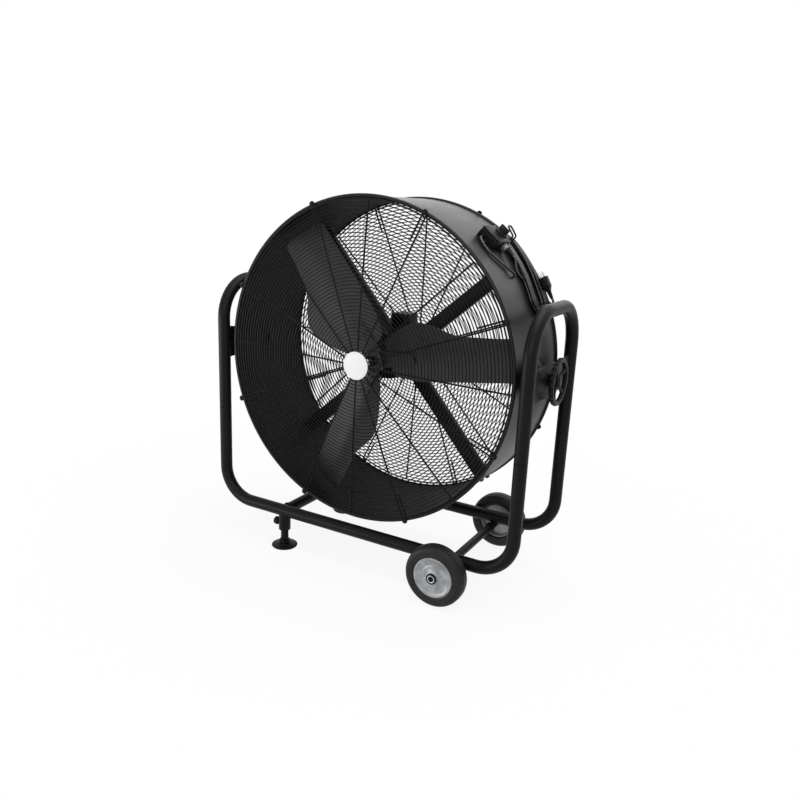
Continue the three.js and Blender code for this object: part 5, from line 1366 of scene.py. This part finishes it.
def build_hooks():
    """Bent wires at the ends of the hank, each with a fillet round both its feet."""
    c = fan().cord
    fillet = lathe(rounded([(0, 0), (0.0055, 0), (0.0035, 0.0022), (0, 0.0030)], 0.001, 3), "Z", 24)
    for name, place, radius, sign in (("upper", c.top_place, c.top_radius, -1),
                                      ("lower", c.bottom_place, c.bottom_radius, 1)):
        corners = hank_end(place, radius, sign)
        hook = Surface().add(sweep(bent(corners, 0.0075, 8, 0.006), c.hook_wire, (0.3, 0.2, 0.93), 14))
        for foot in (corners[0], corners[-1]):
            out = outward_of(foot)
            side = unit(np.cross(out, Y_AXIS))
            hook.add(moved(fillet, pose(side, np.cross(out, side), out, foot)))
        piece(f"{name}_hook_wire", hook, "drum", "wire", [f"{name}_cord_hook"], 50)


def hank_loop(turn, growth):
    """One loop of the hank: down the front run, round the lower end in half a circle, up the rear
    run and round the upper end. Each run takes a sixth of the turn and each end a third."""
    c = fan().cord
    top, bottom = c.top_radius + growth, c.bottom_radius + growth
    run, end = 1 / 6, 1 / 3
    t1 = turn / run
    a2 = math.pi * (turn - run) / end
    t3 = (turn - run - end) / run
    a4 = math.pi * (turn - 2 * run - end) / end
    parts = [turn < run, turn < run + end, turn < 2 * run + end]
    x = np.select(parts, [-c.half_run + 2 * c.half_run * t1, c.half_run + bottom * np.sin(a2),
                          c.half_run - 2 * c.half_run * t3], -c.half_run - top * np.sin(a4))
    y = np.select(parts, [(c.top_place - top) * (1 - t1) + (c.bottom_place - bottom) * t1,
                          c.bottom_place - bottom * np.cos(a2),
                          (c.bottom_place + bottom) * (1 - t3) + (c.top_place + top) * t3],
                  c.top_place + top * np.cos(a4))
    return x, y


def hank_route():
    """The spiral goes in on the sheet, climbs a layer along a rear run, and comes out again."""
    c = fan().cord
    loops = np.linspace(0, c.loops, int(c.loops * 96) + 1)
    back = 2.5 + (0.5 - c.start) / 6
    growth = c.pitch * np.abs(loops - back)
    climb = ease((loops - back) * 6 + 0.5)
    x, y = hank_loop((loops + c.start / 6) % 1, growth)
    return on_drum(x, y, c.radius + SHEET_LIFT + c.layer * climb)


def build_cord():
    """Mains cord as one tube: a curve from the gland to the hank, the hank, and a curve to the plug."""
    c, e, d = fan().cord, fan().electric, fan().drum
    hank = hank_route()
    down, away = unit(hank[1] - hank[0]), unit(hank[-1] - hank[-2])
    box, perch = seat(e.box_angle), seat(e.plug_angle)
    gland = moved(np.array([e.box_length / 2 + RELIEF[1] + 2 * GAP, e.gland_place,
                            d.radius + e.gland_rise]), box)
    plug = moved(plug_spot() + [0.045 + GAP, 0, 0], perch)
    lead = smooth_path([gland, gland + 0.008 * box[:3, 0], on_drum(-0.007, e.gland_place - 0.003, 0.007),
                        on_drum(0.014, e.gland_place - 0.0005, 0.0045), hank[0] - 0.0143 * down,
                        hank[0] - 0.0073 * down])
    tail = smooth_path([hank[-1] + 0.0073 * away, hank[-1] + 0.0143 * away,
                        on_drum(c.half_run + 0.037, e.plug_place - 0.004, 0.020),
                        plug + 0.008 * perch[:3, 0], plug])
    path = np.concatenate((lead, hank, tail))
    step = np.linalg.norm(np.diff(path, axis=0), axis=1)
    path = path[np.concatenate(([True], step > 1e-5))]
    cord = Surface().add(sweep(path, c.radius, outward_of(path), 12))
    obj = piece("mains_cord", cord, "drum", "sheath", ["cord_lead", "cord_hank", "cord_end"], 60)


def build_motor_cable():
    """Cable in an arc on the sheet, from the box's side into the drum, under two clips."""
    c, e, d = fan().cord, fan().electric, fan().drum
    side = moved(np.array([-0.012, e.box_front - GAP, d.radius + 0.009]), seat(e.box_angle))
    start = (c.middle - e.box_angle) * d.radius
    through = [(-0.005, -0.032, 0.008), (0.019, -0.044, 0.005), (0.049, -0.042, 0.005),
               (0.077, -0.024, 0.005), (0.101, -0.002, 0.006), (0.117, 0.008, 0.009),
               (0.125, 0.012, 0.006), (0.1265, 0.0125, 0.001)]
    route = smooth_path([side, side + [0, -0.009, 0],
                         *(on_drum(start + run, e.box_front + y, height) for run, y, height in through)])
    lead = Surface().add(sweep(route, c.radius, Y_AXIS * 0.2 + outward_of(route), 14))
    a = np.linspace(-0.35, math.pi + 0.35, 18)[:, None]
    width, r = np.array([(-0.003, 0.0039), (0.003, 0.0039), (0.003, 0.0048), (-0.003, 0.0048)]).T
    clip = points(width, r * np.cos(a), CABLE_LIFT + r * np.sin(a))
    for place in (0.30, 0.62):
        i = int(place * len(route))
        out, along = outward_of(route[i]), unit(route[i + 1] - route[i - 1])
        lead.add(moved(clip, pose(along, unit(np.cross(out, along)), out, route[i] - out * CABLE_LIFT)))
    piece("motor_cable", lead, "drum", "sheath", ["motor_lead"], 60)


# ---------------------------------------------------------------- stage

def build_camera():
    """Camera as it was fitted to the photograph: its right and up directions and its place."""
    data = bpy.data.cameras.new("Camera")
    data.lens = fan().stage.lens
    data.sensor_width = 36.0
    data.sensor_fit = "HORIZONTAL"
    data.clip_end = 50.0
    camera = bpy.data.objects.new("Camera", data)
    right, up = np.array([0.86812, 0.49451, 0.04273]), np.array([-0.16301, 0.20272, 0.96557])
    matrix = pose(right, up, np.cross(right, up), (1.1294, -1.9586, 1.1031))
    camera.matrix_world = Matrix(matrix.tolist())
    bpy.context.scene.collection.objects.link(camera)
    bpy.context.scene.camera = camera


def build_floor():
    """Paper that keeps the shadow and is seen as white: the glow's share grows from 0.9 near the
    object to 1 further out."""
    g = Graph("studio_floor")
    far = g.node("ShaderNodeVectorMath", {"operation": "LENGTH"}, g.coordinates()).out("Value")
    shade = g.mix(g.noise(3.0, 2.0, 0.5), (0.93, 0.93, 0.93), (0.95, 0.95, 0.95))
    paper = g.node("ShaderNodeBsdfPrincipled", {}, Base_Color=shade, Roughness=0.9).out()
    glow = g.node("ShaderNodeEmission", {}, Color=(1, 1, 1), Strength=1.0).out()
    seen = g.seen_rays() * (far.step(0.7, 1.7) * 0.10 + 0.90)
    data = bpy.data.meshes.new("studio_floor")
    data.from_pydata([(-14, -14, 0), (14, -14, 0), (14, 14, 0), (-14, 14, 0)], [], [(0, 1, 2, 3)])
    data.materials.append(g.finish(g.node("ShaderNodeMixShader", {}, seen, paper, glow)))
    floor = bpy.data.objects.new("studio_floor", data)
    floor.location = (0, 0, -0.0005)
    bpy.context.scene.collection.objects.link(floor)


def build_world():
    """Pale light on the object, and plain white where the world itself is seen."""
    g = Graph("studio", "World")
    light = g.node("ShaderNodeBackground", {}, (0.90, 0.92, 0.95), fan().stage.sky).out()
    white = g.node("ShaderNodeBackground", {}, (1.0, 1.0, 1.0), 1.0).out()
    mixed = g.node("ShaderNodeMixShader", {}, g.seen_rays(), light, white)
    bpy.context.scene.world = g.finish(mixed)


def build_lamps():
    """Rectangular lamps, each turned from its place to its target."""
    for name, place, target, size, power in (
            ("key", (1.0, -3.1, 2.2), (0, 0, 0.6), (1.3, 1.3), 31),
            ("back", (-0.2, 3.4, 2.0), (0.1, 0, 0.9), (3.4, 1.4), 20),
            ("top", (0.5, 0.1, 3.2), (0, 0, 0.7), (2.6, 2.0), 60),
            ("left", (-2.1, -1.9, 0.30), (0, 0, 0.6), (2.2, 0.5), 34)):
        lamp = bpy.data.lights.new(name, "AREA")
        lamp.shape = "RECTANGLE"
        lamp.size, lamp.size_y = size
        lamp.energy = power * fan().stage.lamp
        obj = bpy.data.objects.new(name, lamp)
        z = unit(np.subtract(place, target))
        x = unit(np.cross(Z_AXIS, z))
        obj.matrix_world = Matrix(pose(x, np.cross(z, x), z, place).tolist())
        bpy.context.scene.collection.objects.link(obj)


# ---------------------------------------------------------------- operators and panel

class StageOperator(bpy.types.Operator):
    """Adds the camera, the floor, the world and the lamps"""
    bl_idname = "drum_fan.stage"
    bl_label = "Stage"

    def execute(self, context):
        bpy.context.scene.view_settings.view_transform = "Standard"
        build_camera()
        build_floor()
        build_world()
        build_lamps()
        return {"FINISHED"}


class CordOperator(bpy.types.Operator):
    """Winds the mains cord between its hooks and lays the motor's cable"""
    bl_idname = "drum_fan.cord"
    bl_label = "Cords and hooks"

    def execute(self, context):
        build_hooks()
        build_cord()
        build_motor_cable()
        return {"FINISHED"}


class DrumOperator(bpy.types.Operator):
    """Rolls the drum with its rims, pivot bosses and fasteners"""
    bl_idname = "drum_fan.drum"
    bl_label = "Drum"

    def execute(self, context):
        build_drum()
        return {"FINISHED"}


class GrilleOperator(bpy.types.Operator):
    """Makes the two wire grilles, their screws and the plain badge"""
    bl_idname = "drum_fan.grilles"
    bl_label = "Grilles"

    def execute(self, context):
        build_grille(-1, "front")
        build_grille(1, "rear")
        build_badge()
        return {"FINISHED"}


class MotorOperator(bpy.types.Operator):
    """Makes the motor, its strap, its four arms and the capacitor housing"""
    bl_idname = "drum_fan.motor"
    bl_label = "Motor"

    def execute(self, context):
        build_motor()
        build_capacitor()
        return {"FINISHED"}


class RotorOperator(bpy.types.Operator):
    """Makes the blades, the spider, its rivets and the shaft"""
    bl_idname = "drum_fan.rotor"
    bl_label = "Rotor"

    def execute(self, context):
        build_rotor()
        return {"FINISHED"}


class FrameOperator(bpy.types.Operator):
    """Bends the frame tubes and adds the bars, webs, welds and nuts"""
    bl_idname = "drum_fan.frame"
    bl_label = "Frame"

    def execute(self, context):
        build_tubes()
        build_bars()
        build_axle_ends()
        build_webs()
        return {"FINISHED"}


class WheelOperator(bpy.types.Operator):
    """Makes the two wheels"""
    bl_idname = "drum_fan.wheels"
    bl_label = "Wheels"

    def execute(self, context):
        build_wheels()
        return {"FINISHED"}


class FootOperator(bpy.types.Operator):
    """Makes the levelling feet, their sockets and their knobs"""
    bl_idname = "drum_fan.feet"
    bl_label = "Feet"

    def execute(self, context):
        build_feet()
        return {"FINISHED"}


class PivotOperator(bpy.types.Operator):
    """Makes the pivot bolts, the friction pads and the tilt handwheel"""
    bl_idname = "drum_fan.pivots"
    bl_label = "Tilt pivots"

    def execute(self, context):
        build_pivots()
        build_handwheel()
        return {"FINISHED"}


class ElectricOperator(bpy.types.Operator):
    """Makes the control box, the speed dial, the gland and the plug"""
    bl_idname = "drum_fan.electrics"
    bl_label = "Electrics"

    def execute(self, context):
        build_switch_box()
        build_gland()
        build_plug()
        return {"FINISHED"}


OPERATORS = (StageOperator, ElectricOperator, CordOperator, DrumOperator, GrilleOperator, MotorOperator,
             RotorOperator, FrameOperator, WheelOperator, FootOperator, PivotOperator)


class DrumFanPanel(bpy.types.Panel):
    """Buttons and sizes of the drum fan"""
    bl_idname = "VIEW3D_PT_drum_fan"
    bl_label = "Drum Fan"
    bl_space_type = "VIEW_3D"
    bl_region_type = "UI"
    bl_category = "Drum Fan"

    def draw(self, context):
        for operator in OPERATORS:
            self.layout.operator(operator.bl_idname)
        for key, group in GROUPS.items():
            box = self.layout.box()
            box.label(text=group.__name__)
            for name in group.__annotations__:
                box.prop(getattr(context.scene.drum_fan, key), name)


CLASSES = (*GROUPS.values(), DrumFan, *OPERATORS, DrumFanPanel)


def register():
    for cls in CLASSES:
        bpy.utils.register_class(cls)
    bpy.types.Scene.drum_fan = PointerProperty(type=DrumFan)


def unregister():
    del bpy.types.Scene.drum_fan
    for cls in reversed(CLASSES):
        bpy.utils.unregister_class(cls)


def main():
    register()
    for operator in OPERATORS:
        group, name = operator.bl_idname.split(".")
        getattr(getattr(bpy.ops, group), name)()


if __name__ == "__main__":
    main()
